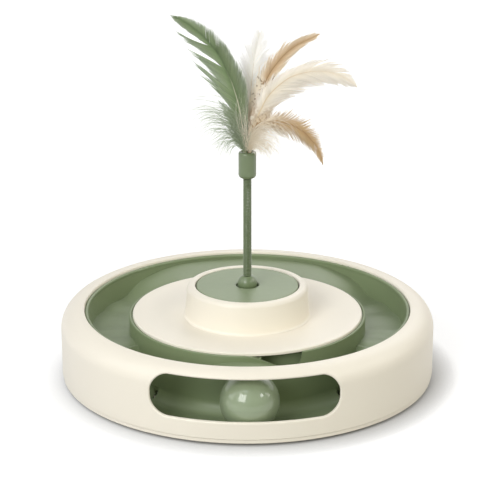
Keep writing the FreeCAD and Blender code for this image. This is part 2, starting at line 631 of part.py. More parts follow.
def cut_pocket():
    """Pocket behind the cut, so that nothing drops into the base there."""
    low, top = CUT_BOTTOM_LEFT[1], DISC_UNDER_Z - DISC_SEAT_THICKNESS / 2
    width, depth = CUT_RIGHT_X - CUT_LEFT_BEND[0], POCKET_BACK_Y + INNER_WALL_RADIUS
    room_corner = Vec(CUT_LEFT_BEND[0], -INNER_WALL_RADIUS, low)
    block = Part.makeBox(width + 2 * TRACK_WALL, depth + TRACK_WALL, top - low + TRACK_WALL,
                         room_corner - Vec(TRACK_WALL, 0, TRACK_WALL))
    room = Part.makeBox(width, depth, top, room_corner)
    return block.cut(room).common(pillar(ORIGIN, INNER_WALL_RADIUS - TRACK_WALL / 2, 0, top))


def ledge():
    """Domed ledge that leans out of the inner wall above the ball's inner side."""
    block = ring(INNER_WALL_RADIUS - TRACK_WALL / 2, LEDGE_RADIUS, LEDGE_BOTTOM_Z, LEDGE_TOP_Z + OVERRUN,
                 -LEDGE_HALF_ANGLE, LEDGE_HALF_ANGLE)
    dome = Part.makeCylinder(LEDGE_DOME_RADIUS, LEDGE_RADIUS * 2,
                             Vec(LEDGE_X, -LEDGE_RADIUS * 2, LEDGE_TOP_Z - LEDGE_DOME_RADIUS), Vec(0, 1, 0))
    return block.common(dome)


def groove_wall():
    """Outer wall of the groove, from one end of the gallery round the back to the other."""
    foot, top = GROOVE_FOOT_RADIUS, GROOVE_TOP_RADIUS
    return turned(profile(
        (foot, COVER_TOP_Z), (foot + TRACK_WALL, COVER_TOP_Z),
        (foot + TRACK_WALL, SIDE_FLOOR_Z), (top + TRACK_WALL, LIP_BOTTOM_Z),
        (top, LIP_BOTTOM_Z), (foot, SIDE_FLOOR_Z)), GALLERY_END_ANGLE, 360 - GALLERY_END_ANGLE)


def end_wall(side):
    """Upright wall that closes the gallery's end under the housing."""
    first, last = sorted((side * GALLERY_END_ANGLE, side * (GALLERY_END_ANGLE + END_WALL_ANGLE)))
    return ring(GROOVE_FOOT_RADIUS + JOIN_DEPTH, GALLERY_LIP_RADIUS, SIDE_FLOOR_Z - TRACK_WALL,
                HOUSING_TOP_Z - SHOULDER_RADIUS, first, last)


def track_lip_ring():
    """Ring that trims the housing's opening and catches under its edge."""
    inner = LIP_OUTER_RADIUS - LIP_RING_WIDTH
    middle = (inner + LIP_OUTER_RADIUS) / 2
    radius = LIP_RING_WIDTH / 2
    flange_top = PLATE_UNDER_Z - LIP_RING_GAP
    return turned(profile(
        (inner, LIP_BOTTOM_Z),
        (LIP_OUTER_RADIUS + LIP_FLANGE_WIDTH, LIP_BOTTOM_Z),
        (LIP_OUTER_RADIUS + LIP_FLANGE_WIDTH, flange_top),
        (LIP_OUTER_RADIUS, flange_top),
        (LIP_OUTER_RADIUS, LIP_TOP_Z - radius),
        ((middle, LIP_TOP_Z), (inner, LIP_TOP_Z - radius))))


def centre_disc():
    """Disc with its raised hub, the boss for the sleeve and the posts for the screws."""
    edge = (DISC_RADIUS - DISC_EDGE_ROUND, DISC_TOP_Z - DISC_EDGE_ROUND)
    dish_z = DISC_TOP_Z - DISC_DISH
    foot = (HUB_FOOT_RADIUS + HUB_FOOT_ROUND, dish_z + HUB_FOOT_STEP + HUB_FOOT_ROUND)
    flat_edge = DISC_RADIUS - DISC_EDGE_WIDTH
    shoulder = (HUB_SHOULDER_RADIUS - HUB_TOP_ROUND, HUB_TOP_Z - HUB_TOP_ROUND)
    bore = INSERT_RADIUS + INSERT_SIDE_GAP
    lip = (bore + HUB_BORE_EDGE, HUB_TOP_Z - HUB_BORE_EDGE)
    inner = HUB_FOOT_RADIUS - HUB_WALL
    rim_under = HUB_TOP_Z - HUB_RIM_THICKNESS
    boss = HUB_BORE + BOSS_WALL
    body = turned(profile(
        (DISC_RADIUS, DISC_UNDER_Z),
        (DISC_RADIUS, edge[1]),
        (on_circle(edge, DISC_EDGE_ROUND, UP_OUT), (edge[0], DISC_TOP_Z)),
        (flat_edge, DISC_TOP_Z),
        (foot[0], dish_z),
        (foot[0], dish_z + HUB_FOOT_STEP),
        (on_circle(foot, HUB_FOOT_ROUND, DOWN_IN), (HUB_FOOT_RADIUS, foot[1])),
        (HUB_SHOULDER_RADIUS, shoulder[1]),
        (on_circle(shoulder, HUB_TOP_ROUND, UP_OUT), (shoulder[0], HUB_TOP_Z)),
        (lip[0], HUB_TOP_Z),
        (on_circle(lip, HUB_BORE_EDGE, UP_IN), (bore, lip[1])),
        (bore, rim_under),
        (HUB_SHOULDER_RADIUS - HUB_WALL, rim_under - HUB_WALL),
        (inner, HUB_FLOOR_Z),
        (boss, HUB_FLOOR_Z),
        (boss, SLEEVE_TOP_Z - SLEEVE_FLANGE_THICKNESS),
        (HUB_BORE, SLEEVE_TOP_Z - SLEEVE_FLANGE_THICKNESS),
        (HUB_BORE, HUB_UNDER_Z),
        (inner, HUB_UNDER_Z),
        (inner, dish_z - DISC_THICKNESS),
        (flat_edge, DISC_UNDER_Z)))
    posts = [pillar(at(a, POST_RING_RADIUS), POST_RADIUS, COVER_TOP_Z, DISC_UNDER_Z)
             for a in POST_AZIMUTHS]
    body = joined(body, *posts)
    for azimuth in POST_AZIMUTHS:
        body = body.cut(pilot_hole(at(azimuth, POST_RING_RADIUS)))
    return body


def insert_bearing():
    """Flanged sleeve that the insert's spindle turns in."""
    flange_under = SLEEVE_TOP_Z - SLEEVE_FLANGE_THICKNESS
    return turned(profile(
        (SLEEVE_BORE, HUB_UNDER_Z),
        (SLEEVE_RADIUS, HUB_UNDER_Z),
        (SLEEVE_RADIUS, flange_under),
        (SLEEVE_RADIUS + SLEEVE_FLANGE_WIDTH, flange_under),
        (SLEEVE_RADIUS + SLEEVE_FLANGE_WIDTH, SLEEVE_TOP_Z),
        (SLEEVE_BORE, SLEEVE_TOP_Z)))


def ball_point(radius, z=None, r=None):
    """Point of a sphere round the knob's centre, below it, at a height or at a radius."""
    if r is None:
        return (sqrt(radius ** 2 - (KNOB_Z - z) ** 2), z)
    return (r, KNOB_Z - sqrt(radius ** 2 - r ** 2))


def sphere_arc(radius, start, end):
    """Middle and end of an arc round the knob's centre, in the radius-height plane."""
    angles = [degrees(atan2(p[1] - KNOB_Z, p[0])) for p in (start, end)]
    return on_circle((0, KNOB_Z), radius, sum(angles) / 2), end


def hub_insert():
    """Turning disc with its hollow spindle and the cup that the knob swivels in."""
    edge = (INSERT_RADIUS - INSERT_EDGE_ROUND, INSERT_TOP_Z - INSERT_EDGE_ROUND)
    hole = (KNOB_HOLE_RADIUS + INSERT_EDGE_ROUND, INSERT_TOP_Z - INSERT_EDGE_ROUND)
    outer_top = ball_point(CUP_OUTER, z=INSERT_UNDER_Z)
    outer_low = ball_point(CUP_OUTER, r=CUP_HOLE_RADIUS)
    inner_low = ball_point(CUP_INNER, r=CUP_HOLE_RADIUS)
    inner_top = ball_point(CUP_INNER, z=KNOB_LEDGE_Z)
    return turned(profile(
        (hole[0], INSERT_TOP_Z),
        (edge[0], INSERT_TOP_Z),
        (on_circle(edge, INSERT_EDGE_ROUND, UP_OUT), (INSERT_RADIUS, edge[1])),
        (INSERT_RADIUS, INSERT_UNDER_Z),
        (SPINDLE_RADIUS, INSERT_UNDER_Z),
        (SPINDLE_RADIUS, SPINDLE_BOTTOM_Z),
        (SPINDLE_RADIUS - SPINDLE_WALL, SPINDLE_BOTTOM_Z),
        (SPINDLE_RADIUS - SPINDLE_WALL, INSERT_UNDER_Z),
        outer_top,
        sphere_arc(CUP_OUTER, outer_top, outer_low),
        inner_low,
        sphere_arc(CUP_INNER, inner_low, inner_top),
        (KNOB_HOLE_RADIUS, KNOB_LEDGE_Z),
        (KNOB_HOLE_RADIUS, hole[1]),
        (on_circle(hole, INSERT_EDGE_ROUND, UP_IN), (hole[0], INSERT_TOP_Z))))


def insert_retaining_ring():
    """Ring on the spindle's end that keeps the insert in its sleeve."""
    top = HUB_UNDER_Z - SEAT_GAP
    return ring(SPINDLE_RADIUS + PRESS_GAP, SPINDLE_RADIUS + RETAINING_RING_WIDTH,
                top - RETAINING_RING_THICKNESS, top)


def swivel_knob():
    """Ball with a flat seat for the spring on top and a short neck below."""
    ball = Part.makeSphere(KNOB_RADIUS, Vec(0, 0, KNOB_Z))
    neck_end = ball_point(DISH_INNER, r=KNOB_NECK_RADIUS)[1]
    body = joined(ball, pillar(ORIGIN, KNOB_NECK_RADIUS, neck_end, KNOB_Z))
    body = body.cut(pillar(ORIGIN, KNOB_RADIUS, KNOB_SEAT_Z, KNOB_Z + KNOB_RADIUS + OVERRUN))
    body = body.cut(pillar(ORIGIN, PIN_RADIUS + PRESS_GAP, KNOB_SEAT_Z - PIN_DEPTH, KNOB_SEAT_Z + OVERRUN))
    screw_hole_top = DISH_FLAT_Z + KNOB_SCREW_LENGTH + SEAT_GAP
    return body.cut(pillar(ORIGIN, KNOB_SCREW_RADIUS + PRESS_GAP, neck_end - OVERRUN, screw_hole_top))


def knob_retainer():
    """Dish that slides under the cup and holds the knob down."""
    angle = QUARTER - DISH_HALF_ANGLE
    hole = KNOB_SCREW_RADIUS + PRESS_GAP
    flat_radius = sqrt(DISH_OUTER ** 2 - (KNOB_Z - DISH_FLAT_Z) ** 2)
    inner_low = ball_point(DISH_INNER, r=hole)
    inner_top = on_circle((0, KNOB_Z), DISH_INNER, -angle)
    outer_top = on_circle((0, KNOB_Z), DISH_OUTER, -angle)
    outer_low = (flat_radius, DISH_FLAT_Z)
    return turned(profile(
        inner_low,
        sphere_arc(DISH_INNER, inner_low, inner_top),
        outer_top,
        sphere_arc(DISH_OUTER, outer_top, outer_low),
        (hole, DISH_FLAT_Z)))


def knob_screw():
    """Pan-head screw that holds the dish to the knob."""
    head = pillar(ORIGIN, KNOB_SCREW_HEAD_RADIUS, DISH_FLAT_Z - KNOB_SCREW_HEAD_HEIGHT, DISH_FLAT_Z)
    return joined(head, pillar(ORIGIN, KNOB_SCREW_RADIUS, DISH_FLAT_Z, DISH_FLAT_Z + KNOB_SCREW_LENGTH))


def spring_pin(seat_z, direction):
    """Pin that stands in a bore by its seat and reaches into the spring."""
    ends = sorted((seat_z - direction * PIN_DEPTH, seat_z + direction * PIN_REACH))
    return pillar(ORIGIN, PIN_RADIUS, *ends)


def unit(vector):
    """The same direction with length one."""
    return vector * (1.0 / vector.Length)


def bend_end(point, tangent, towards):
    """Arc edge from a point that turns its tangent towards a direction, and where it ends."""
    side = unit(towards - tangent * towards.dot(tangent))
    turn = acos(towards.dot(tangent))
    radius = SPRING_BEND_RADIUS
    centre = point + side * radius

    def on_arc(angle):
        return centre - side * (radius * cos(angle)) + tangent * (radius * sin(angle))
    return Part.Arc(point, on_arc(turn / 2), on_arc(turn)), on_arc(turn)


def arc_from(start, tangent, end):
    """Arc from a point along a tangent to another point."""
    chord = end - start
    side = unit(chord - tangent * chord.dot(tangent))
    radius = chord.dot(chord) / (2 * chord.dot(side))
    centre = start + side * radius
    return Part.Arc(start, centre + unit((start + end) * 0.5 - centre) * radius, end)


def biarc(start, start_tangent, end, end_tangent):
    """Two arcs that leave and arrive along the given tangents."""
    chord = end - start
    a = 2 * (start_tangent.dot(end_tangent) - 1)
    b = -2 * chord.dot(start_tangent + end_tangent)
    c = chord.dot(chord)
    reach = (-b - sqrt(b * b - 4 * a * c)) / (2 * a)
    joint = (start + start_tangent * reach + end - end_tangent * reach) * 0.5
    first = arc_from(start, start_tangent, joint)
    middle_tangent = unit((end - end_tangent * reach) - (start + start_tangent * reach))
    return first, arc_from(joint, middle_tangent, end)


def spring_curves():
    """Centre line of the spring: straight end, bend, half turns as biarcs, bend, straight end."""
    length = FERRULE_BOTTOM_Z - KNOB_SEAT_Z
    pitch_guess = length / SPRING_TURNS
    slope = atan2(pitch_guess, 2 * pi * SPRING_MEAN_RADIUS)
    end_height = SPRING_WIRE + SPRING_BEND_RADIUS * cos(slope)
    start_z = KNOB_SEAT_Z + end_height
    pitch = (length - 2 * end_height) / SPRING_TURNS

    def place(half_turns):
        angle = pi * half_turns
        point = Vec(SPRING_MEAN_RADIUS * cos(angle), SPRING_MEAN_RADIUS * sin(angle),
                    start_z + pitch * half_turns / 2)
        tangent = Vec(-SPRING_MEAN_RADIUS * sin(angle), SPRING_MEAN_RADIUS * cos(angle), pitch / (2 * pi))
        return point, unit(tangent)
    point, tangent = place(0)
    bend, foot = bend_end(point, tangent * -1, UP * -1)
    bottom = Vec(foot.x, foot.y, KNOB_SEAT_Z)
    middle = bend.value((bend.FirstParameter + bend.LastParameter) / 2)
    curves = [Part.LineSegment(bottom, foot), Part.Arc(foot, middle, point)]
    for half in range(2 * SPRING_TURNS):
        here, here_tangent = place(half)
        there, there_tangent = place(half + 1)
        curves.extend(biarc(here, here_tangent, there, there_tangent))
    point, tangent = place(2 * SPRING_TURNS)
    bend, head = bend_end(point, tangent, UP)
    curves.extend([bend, Part.LineSegment(head, Vec(head.x, head.y, FERRULE_BOTTOM_Z))])
    return curves, pitch


def least_gap(curves):
    """Least distance between stretches of the wire that aren't neighbours, less the wire."""
    points = []
    travelled = 0.0
    for curve in curves:
        count = max(2, int(curve.length() / SPRING_TEST_STEP))
        step = curve.length() / count
        edge = curve.toShape()
        for point in edge.discretize(count + 1)[:-1]:
            points.append((travelled, point))
            travelled += step
    turn = 2 * pi * SPRING_MEAN_RADIUS
    least = turn
    for index, (here, point) in enumerate(points):
        for there, other in points[index + 1:]:
            if there - here > 3 * turn / 2:
                break
            if there - here > turn / 2:
                least = min(least, point.distanceToPoint(other))
    return least - SPRING_WIRE


def stem_spring():
    """The wound wire of the stem, one unbroken tube."""
    curves, pitch = spring_curves()
    print(f"spring: {SPRING_TURNS} turns, pitch {pitch:.3f}, least gap {least_gap(curves):.3f} mm")
    path = Part.Wire([curve.toShape() for curve in curves])
    start = path.Edges[0].Vertexes[0].Point
    section = Part.Wire(Part.makeCircle(SPRING_WIRE / 2, Vec(start.x, start.y, KNOB_SEAT_Z), UP))
    tube = path.makePipeShell([section], True, False)
    print(f"spring: volume {tube.Volume:.2f}, section times length "
          f"{pi * (SPRING_WIRE / 2) ** 2 * path.Length:.2f}")
    return tube


def ferrule():
    """Barrel with a bore for the spring's pin below and a socket for the quills above."""
    low = (FERRULE_RADIUS - FERRULE_FOOT_ROUND, FERRULE_BOTTOM_Z + FERRULE_FOOT_ROUND)
    high = (FERRULE_RADIUS - FERRULE_TOP_ROUND, FERRULE_TOP_Z - FERRULE_TOP_ROUND)
    bore = PIN_RADIUS + PRESS_GAP
    return turned(profile(
        (bore, FERRULE_BOTTOM_Z),
        (low[0], FERRULE_BOTTOM_Z),
        (on_circle(low, FERRULE_FOOT_ROUND, DOWN_OUT), (FERRULE_RADIUS, low[1])),
        (FERRULE_RADIUS, high[1]),
        (on_circle(high, FERRULE_TOP_ROUND, UP_OUT), (high[0], FERRULE_TOP_Z)),
        (SOCKET_RADIUS, FERRULE_TOP_Z),
        (SOCKET_RADIUS, SOCKET_FLOOR_Z),
        (0, SOCKET_FLOOR_Z),
        (0, FERRULE_BOTTOM_Z + PIN_DEPTH),
        (bore, FERRULE_BOTTOM_Z + PIN_DEPTH)))


def quill_place(angle):
    """Where a quill stands on the quill circle."""
    return Vec(QUILL_CIRCLE_RADIUS * cos(radians(angle)), QUILL_CIRCLE_RADIUS * sin(radians(angle)), 0)


def quill_plug():
    """Plug in the ferrule's socket that binds the quills."""
    body = pillar(ORIGIN, SOCKET_RADIUS - PRESS_GAP, SOCKET_FLOOR_Z, SOCKET_FLOOR_Z + PLUG_HEIGHT)
    hole = QUILL_HALF_WIDTH + QUILL_GAP
    for angle, _ in FEATHERS.values():
        body = body.cut(pillar(quill_place(angle), hole, SOCKET_FLOOR_Z - OVERRUN, FERRULE_TOP_Z))
    return body


def vane_section(point, tangent, left, right, half_thickness):
    """Thin four-sided section across a feather's shaft, its width facing the front."""
    across = unit(tangent.cross(Vec(0, -1, 0)))
    front = unit(across.cross(tangent))
    corners = [point - across * left, point + front * -half_thickness,
               point + across * right, point + front * half_thickness]
    return Part.makePolygon(corners + corners[:1])


def feather(angle, shaft):
    """Quill and vane of one feather, as a ruled loft along its shaft."""
    foot = quill_place(angle)
    quill = QUILL_HALF_WIDTH
    stations = [(Vec(foot.x, foot.y, SOCKET_FLOOR_Z + SEAT_GAP), quill, quill, quill),
                (Vec(foot.x, foot.y, FERRULE_TOP_Z + QUILL_FREE_HEIGHT), quill, quill, quill)]
    for x, y, rise, left, right in shaft:
        thickness = VANE_EDGE if max(left, right) < VANE_THICKNESS else VANE_THICKNESS / 2
        stations.append((Vec(x, y, FERRULE_TOP_Z + rise), left, right, thickness))
    sections = []
    for index, (point, left, right, half) in enumerate(stations):
        before = stations[max(index - 1, 0)][0]
        after = stations[min(index + 1, len(stations) - 1)][0]
        tangent = UP if index < 2 else unit(after - before)
        sections.append(vane_section(point, tangent, left, right, half))
    return Part.makeLoft(sections, True, True)


def ball_half(upper):
    """Half shell of the ball. The upper one has a tongue that sits in the lower one's step."""
    centre = at(BALL_AZIMUTH, BALL_PATH_RADIUS, BALL_Z)
    inner = BALL_RADIUS - BALL_WALL
    middle = inner + BALL_WALL / 2
    shell = Part.makeSphere(BALL_RADIUS, centre).cut(Part.makeSphere(inner, centre))
    size = 2 * (BALL_RADIUS + OVERRUN)
    half = Part.makeBox(size, size, size, centre - Vec(size / 2, size / 2, 0 if upper else size))
    body = shell.common(half)
    place = at(BALL_AZIMUTH, BALL_PATH_RADIUS)
    if upper:
        tongue = pillar(place, middle - PRESS_GAP, BALL_Z - BALL_TONGUE, BALL_Z + JOIN_DEPTH)
        tongue = tongue.cut(pillar(place, inner, 0, HOUSING_TOP_Z))
        return joined(body, tongue)
    step = pillar(place, middle, BALL_Z - BALL_TONGUE - PRESS_GAP, BALL_Z + OVERRUN)
    return body.cut(step.cut(pillar(place, inner - OVERRUN, 0, HOUSING_TOP_Z)))


def rattle_bead():
    """Bead that lies loose in the ball."""
    centre = at(BALL_AZIMUTH, BALL_PATH_RADIUS, BALL_Z)
    drop = BALL_RADIUS - BALL_WALL - BEAD_RADIUS - SEAT_GAP
    return Part.makeSphere(BEAD_RADIUS, centre - Vec(0, 0, drop))


os.makedirs("parts", exist_ok=True)
save("outer_housing", outer_housing())
save("bottom_cover", bottom_cover())
save("cover_screws", cover_screws())
save("rubber_pads", rubber_pads())
save("track_channel", track_channel())
save("track_lip_ring", track_lip_ring())
save("centre_disc", centre_disc())
save("insert_bearing", insert_bearing())
save("hub_insert", hub_insert())
save("insert_retaining_ring", insert_retaining_ring())
save("swivel_knob", swivel_knob())
save("knob_retainer", knob_retainer())
save("knob_screw", knob_screw())
save("lower_spring_pin", spring_pin(KNOB_SEAT_Z, 1))
save("upper_spring_pin", spring_pin(FERRULE_BOTTOM_Z, -1))
save("stem_spring", stem_spring())
save("ferrule", ferrule())
save("quill_plug", quill_plug())
for name, (angle, shaft) in FEATHERS.items():
    save(name, feather(angle, shaft))
save("ball_upper_half", ball_half(True))
save("ball_lower_half", ball_half(False))
save("rattle_bead", rattle_bead())
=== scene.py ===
# %% [markdown]
# # A cat track ball toy
# A round cream housing holds a green track. A ball is caught in the deep stretch behind the window,
# and a spring on the hub carries a bunch of feathers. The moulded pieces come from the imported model,
# which is already the right size, so this lesson gives them their finishes. The feathers, the down
# and the close-wound spring are made here, because a solid model only holds plain stand-ins for them.

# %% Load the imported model
import json
import math

import bpy
import numpy as np
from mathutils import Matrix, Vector

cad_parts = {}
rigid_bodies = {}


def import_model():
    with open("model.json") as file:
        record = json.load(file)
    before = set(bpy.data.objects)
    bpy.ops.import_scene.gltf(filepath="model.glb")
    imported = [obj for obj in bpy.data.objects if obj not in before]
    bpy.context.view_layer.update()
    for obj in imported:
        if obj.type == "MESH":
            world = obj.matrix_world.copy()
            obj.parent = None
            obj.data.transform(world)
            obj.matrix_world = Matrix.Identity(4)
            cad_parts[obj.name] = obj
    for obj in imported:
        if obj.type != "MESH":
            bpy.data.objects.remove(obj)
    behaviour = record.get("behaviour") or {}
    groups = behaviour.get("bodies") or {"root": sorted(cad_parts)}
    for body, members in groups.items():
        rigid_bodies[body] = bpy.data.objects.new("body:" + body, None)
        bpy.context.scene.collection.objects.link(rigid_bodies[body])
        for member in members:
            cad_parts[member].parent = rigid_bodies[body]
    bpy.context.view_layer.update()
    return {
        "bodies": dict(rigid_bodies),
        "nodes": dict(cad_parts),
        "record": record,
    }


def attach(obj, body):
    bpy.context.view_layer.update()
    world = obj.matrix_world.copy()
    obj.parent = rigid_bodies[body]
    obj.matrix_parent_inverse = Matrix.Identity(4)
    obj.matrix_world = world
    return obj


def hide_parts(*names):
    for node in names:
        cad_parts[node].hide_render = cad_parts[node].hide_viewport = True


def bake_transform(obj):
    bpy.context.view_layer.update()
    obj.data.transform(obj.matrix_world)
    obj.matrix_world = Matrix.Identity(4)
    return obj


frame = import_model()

MM = 0.001
bodies, nodes = frame["bodies"], frame["nodes"]
print("bodies:", sorted(bodies))

# %% [markdown]
# ## The camera
# The photograph looks down on the toy at a shallow angle through a long lens. The place and the lens
# were worked out from the circles of the base, which look like flat ellipses: how flat they are gives
# the angle, and how the near edge is larger than the far edge gives the distance. A long lens from far
# away keeps the base from bulging. The toy stands a little left of the middle, which a small sideways
# shift of the lens gives without turning the camera.

# %% Set the camera
CAMERA_PLACE = (0.0, -1.197117, 0.495235)
CAMERA_PITCH = 18.883
FOCAL_PIXELS, FRAME_PIXELS, AXIS_PIXEL = 1900.0, 500.0, 247.368

scene = bpy.context.scene
lens = bpy.data.cameras.new("photo_lens")
lens.sensor_width = 36.0
lens.lens = FOCAL_PIXELS / FRAME_PIXELS * lens.sensor_width
lens.shift_x = (FRAME_PIXELS / 2 - AXIS_PIXEL) / FRAME_PIXELS
camera = bpy.data.objects.new("photo_camera", lens)
camera.location = CAMERA_PLACE
camera.rotation_euler = (math.radians(90 - CAMERA_PITCH), 0, 0)
scene.collection.objects.link(camera)
scene.camera = camera
scene.view_settings.view_transform = "Standard"
print("lens in mm:", round(lens.lens, 1))

# %% [markdown]
# ## Short ways to build node trees
# A finish is a sum of small patterns: a speckle, a faint cloud, a line along an edge. Written as node
# links they are hard to read, so one small class wraps a socket and lets Python's own operators add
# the Math nodes. Any other node comes from one method that sets it up and fills its sockets. The trees
# that grow the spring and the feathers further down are written in the same way.

# %% The helper for nodes
class Value:
    """A socket that can be used in sums."""

    def __init__(self, owner, socket):
        self.owner, self.socket = owner, socket

    def math(self, operation, other=0.0):
        return self.owner.node("ShaderNodeMath", {"operation": operation}, {0: self, 1: other})

    def __add__(self, other):
        return self.math("ADD", other)

    def __sub__(self, other):
        return self.math("SUBTRACT", other)

    def __mul__(self, other):
        return self.math("MULTIPLY", other)

    def __pow__(self, other):
        return self.math("POWER", other)


class Nodes:
    """A node tree under construction."""

    def __init__(self, tree):
        self.tree = tree

    def node(self, kind, settings=None, sockets=None, output=0):
        """A new node with its settings made and its sockets filled, as the value of one output."""
        made = self.tree.nodes.new(kind)
        for key, value in (settings or {}).items():
            setattr(made, key, value)
        for key, value in (sockets or {}).items():
            self.feed(made.inputs[key], value)
        return Value(self, made.outputs[output])

    def feed(self, socket, value):
        if isinstance(value, Value):
            self.tree.links.new(value.socket, socket)
        else:
            socket.default_value = value

    def ray(self, kind):
        """1 for rays of this kind, and 0 for all others."""
        return self.node("ShaderNodeLightPath", output=kind)


# Where the Mix node keeps its colours, between sockets of the same names for other kinds of data
MIX_FACTOR, MIX_FIRST, MIX_SECOND, MIXED_COLOUR = 0, 6, 7, 2


class Finish(Nodes):
    """A material under construction."""

    def __init__(self, name, **constants):
        self.material = bpy.data.materials.new(name)
        self.material.use_nodes = True
        super().__init__(self.material.node_tree)
        self.shader = self.tree.nodes["Principled BSDF"]
        for socket, value in constants.items():
            self.set(socket.replace("_", " "), value)

    def set(self, socket, value):
        self.feed(self.shader.inputs[socket], value)
        return self

    def place(self):
        return self.node("ShaderNodeTexCoord", output="Object")

    def attribute(self, name):
        return self.node("ShaderNodeAttribute", {"attribute_name": name}, output="Fac")

    def noise(self, scale, detail=2.0):
        """A cloudy pattern from 0 to 1, with so many clouds to a metre."""
        return self.node("ShaderNodeTexNoise", {}, {
            "Vector": self.place(), "Scale": scale, "Detail": detail})

    def mix(self, factor, first, second, blend="MIX"):
        return self.node("ShaderNodeMix", {"data_type": "RGBA", "blend_type": blend}, {
            MIX_FACTOR: factor, MIX_FIRST: first, MIX_SECOND: second}, output=MIXED_COLOUR)

    def remap(self, value, old, new, shape="LINEAR"):
        """The value moved from one range to another, and kept within it."""
        return self.node("ShaderNodeMapRange", {"interpolation_type": shape}, {
            "Value": value, "From Min": old[0], "From Max": old[1], "To Min": new[0], "To Max": new[1]})

    def ramp(self, value, stops):
        """A colour that follows the value from stop to stop."""
        painted = self.node("ShaderNodeValToRGB", {}, {"Fac": value})
        elements = painted.socket.node.color_ramp.elements
        while len(elements) < len(stops):
            elements.new(0.5)
        for element, (place, tone) in zip(elements, stops):
            element.position, element.color = place, tone
        return painted


def colour(red, green, blue):
    """A colour as the screen shows it, from 0 to 255, turned into the light it stands for."""
    parts = [c / 255 for c in (red, green, blue)]
    return tuple(c / 12.92 if c < 0.04045 else ((c + 0.055) / 1.055) ** 2.4 for c in parts) + (1.0,)


print("cream plastic:", [round(c, 3) for c in colour(240, 234, 219)])

# %% [markdown]
# ## The studio
# The toy stands on a white sweep among soft boxes. The key is at the front left and a weaker box at
# the right answers it: both show as small squares on the glossy ball. Wide, dim boxes all round keep
# the shade open. The front one is warm, as light that comes off a pale table is. It stands a little to
# the right, and gloss does not see it, so it leaves no third square on the ball. The air itself gives
# a faint light, and more of it to gloss, so a glossy side is never black. The floor is pale grey paper
# with a light of its own, which only the camera and gloss can see. That light dims a little near the
# toy, and more where the toy hides the sky, most on the right and in front. So the paper comes out
# white, with a painted contact shadow over the real shadows from the boxes.

# %% Floor and backdrop
SWEEP_FRONT, SWEEP_HALF_WIDTH, SWEEP_TOP = -3.0, 5.0, 4.0
BEND_FOOT, BEND_RADIUS = 1.4, 0.9
UNDER_THE_PADS = 0.0002


def white_sweep():
    """Floor that curves up into a backdrop behind the toy."""
    bend = [(BEND_FOOT + BEND_RADIUS * math.sin(a), BEND_RADIUS - BEND_RADIUS * math.cos(a))
            for a in np.linspace(0, math.pi / 2, 16)]
    rows = [(SWEEP_FRONT, 0.0)] + bend + [(BEND_FOOT + BEND_RADIUS, SWEEP_TOP)]
    points = [(x, y, z - UNDER_THE_PADS) for y, z in rows for x in (-SWEEP_HALF_WIDTH, SWEEP_HALF_WIDTH)]
    faces = [(2 * i, 2 * i + 1, 2 * i + 3, 2 * i + 2) for i in range(len(rows) - 1)]
    mesh = bpy.data.meshes.new("white_sweep")
    mesh.from_pydata(points, [], faces)
    mesh.update()
    for polygon in mesh.polygons:
        polygon.use_smooth = True
    made = bpy.data.objects.new("white_sweep", mesh)
    scene.collection.objects.link(made)
    return made


WHITE = (1.0, 1.0, 1.0, 1.0)
PALE_PAPER, DEEP_PAPER = (0.46, 0.46, 0.46, 1.0), (0.44, 0.44, 0.44, 1.0)
# The paper's own light has this strength, times a share that grows between two distances in metres,
# so the paper is painted a little darker near the toy
GLOW, GLOW_DISTANCES, GLOW_SHARES = 1.15, (0.15, 0.6), (0.58, 0.78)
# The painted contact shadow: from which side the light comes, how far the toy casts it, and how deep it is
SKY_SIDE, SHADOW_REACH, SHADOW_DEPTH = (-0.42, 0.26, 0.87), 0.02, 1.7

sweep = white_sweep()
paper = Finish("white_paper", Roughness=0.9, Specular_IOR_Level=0.1)
paper.set("Base Color", paper.mix(paper.noise(3.0) * 0.1, PALE_PAPER, DEEP_PAPER))
seen = paper.ray("Is Camera Ray").math("MAXIMUM", paper.ray("Is Glossy Ray"))
from_toy = paper.node("ShaderNodeVectorMath", {"operation": "LENGTH"}, {0: paper.place()}, output="Value")
far_off = paper.remap(from_toy, GLOW_DISTANCES, GLOW_SHARES, "SMOOTHSTEP")
sky_side = paper.node("ShaderNodeCombineXYZ", {}, dict(zip("XYZ", SKY_SIDE)))
open_sky = paper.node("ShaderNodeAmbientOcclusion", {"samples": 12}, {
    "Distance": SHADOW_REACH, "Normal": sky_side}, output="AO")
own_light = paper.node("ShaderNodeEmission", {}, {
    "Color": WHITE, "Strength": seen * far_off * open_sky ** SHADOW_DEPTH * GLOW})
added = paper.node("ShaderNodeAddShader", {}, {0: Value(paper, paper.shader.outputs[0]), 1: own_light})
paper.feed(paper.tree.nodes["Material Output"].inputs["Surface"], added)
sweep.data.materials.append(paper.material)


# %% Soft boxes
def soft_box(name, azimuth, elevation, distance, size, power, tint=(1.0, 1.0, 1.0)):
    """A square lamp that faces the toy. Angles are in degrees, lengths in metres, and an azimuth of 0
    is the camera's side."""
    lamp = bpy.data.lights.new(name, "AREA")
    lamp.shape, lamp.size, lamp.energy, lamp.color = "SQUARE", size, power, tint
    a, e = math.radians(azimuth), math.radians(elevation)
    aim = Vector((0, 0, 0.06))
    back = Vector((math.sin(a) * math.cos(e), -math.cos(a) * math.cos(e), math.sin(e)))
    made = bpy.data.objects.new(name, lamp)
    made.location = aim + back * distance
    made.rotation_euler = back.to_track_quat("Z", "Y").to_euler()
    scene.collection.objects.link(made)
    return made


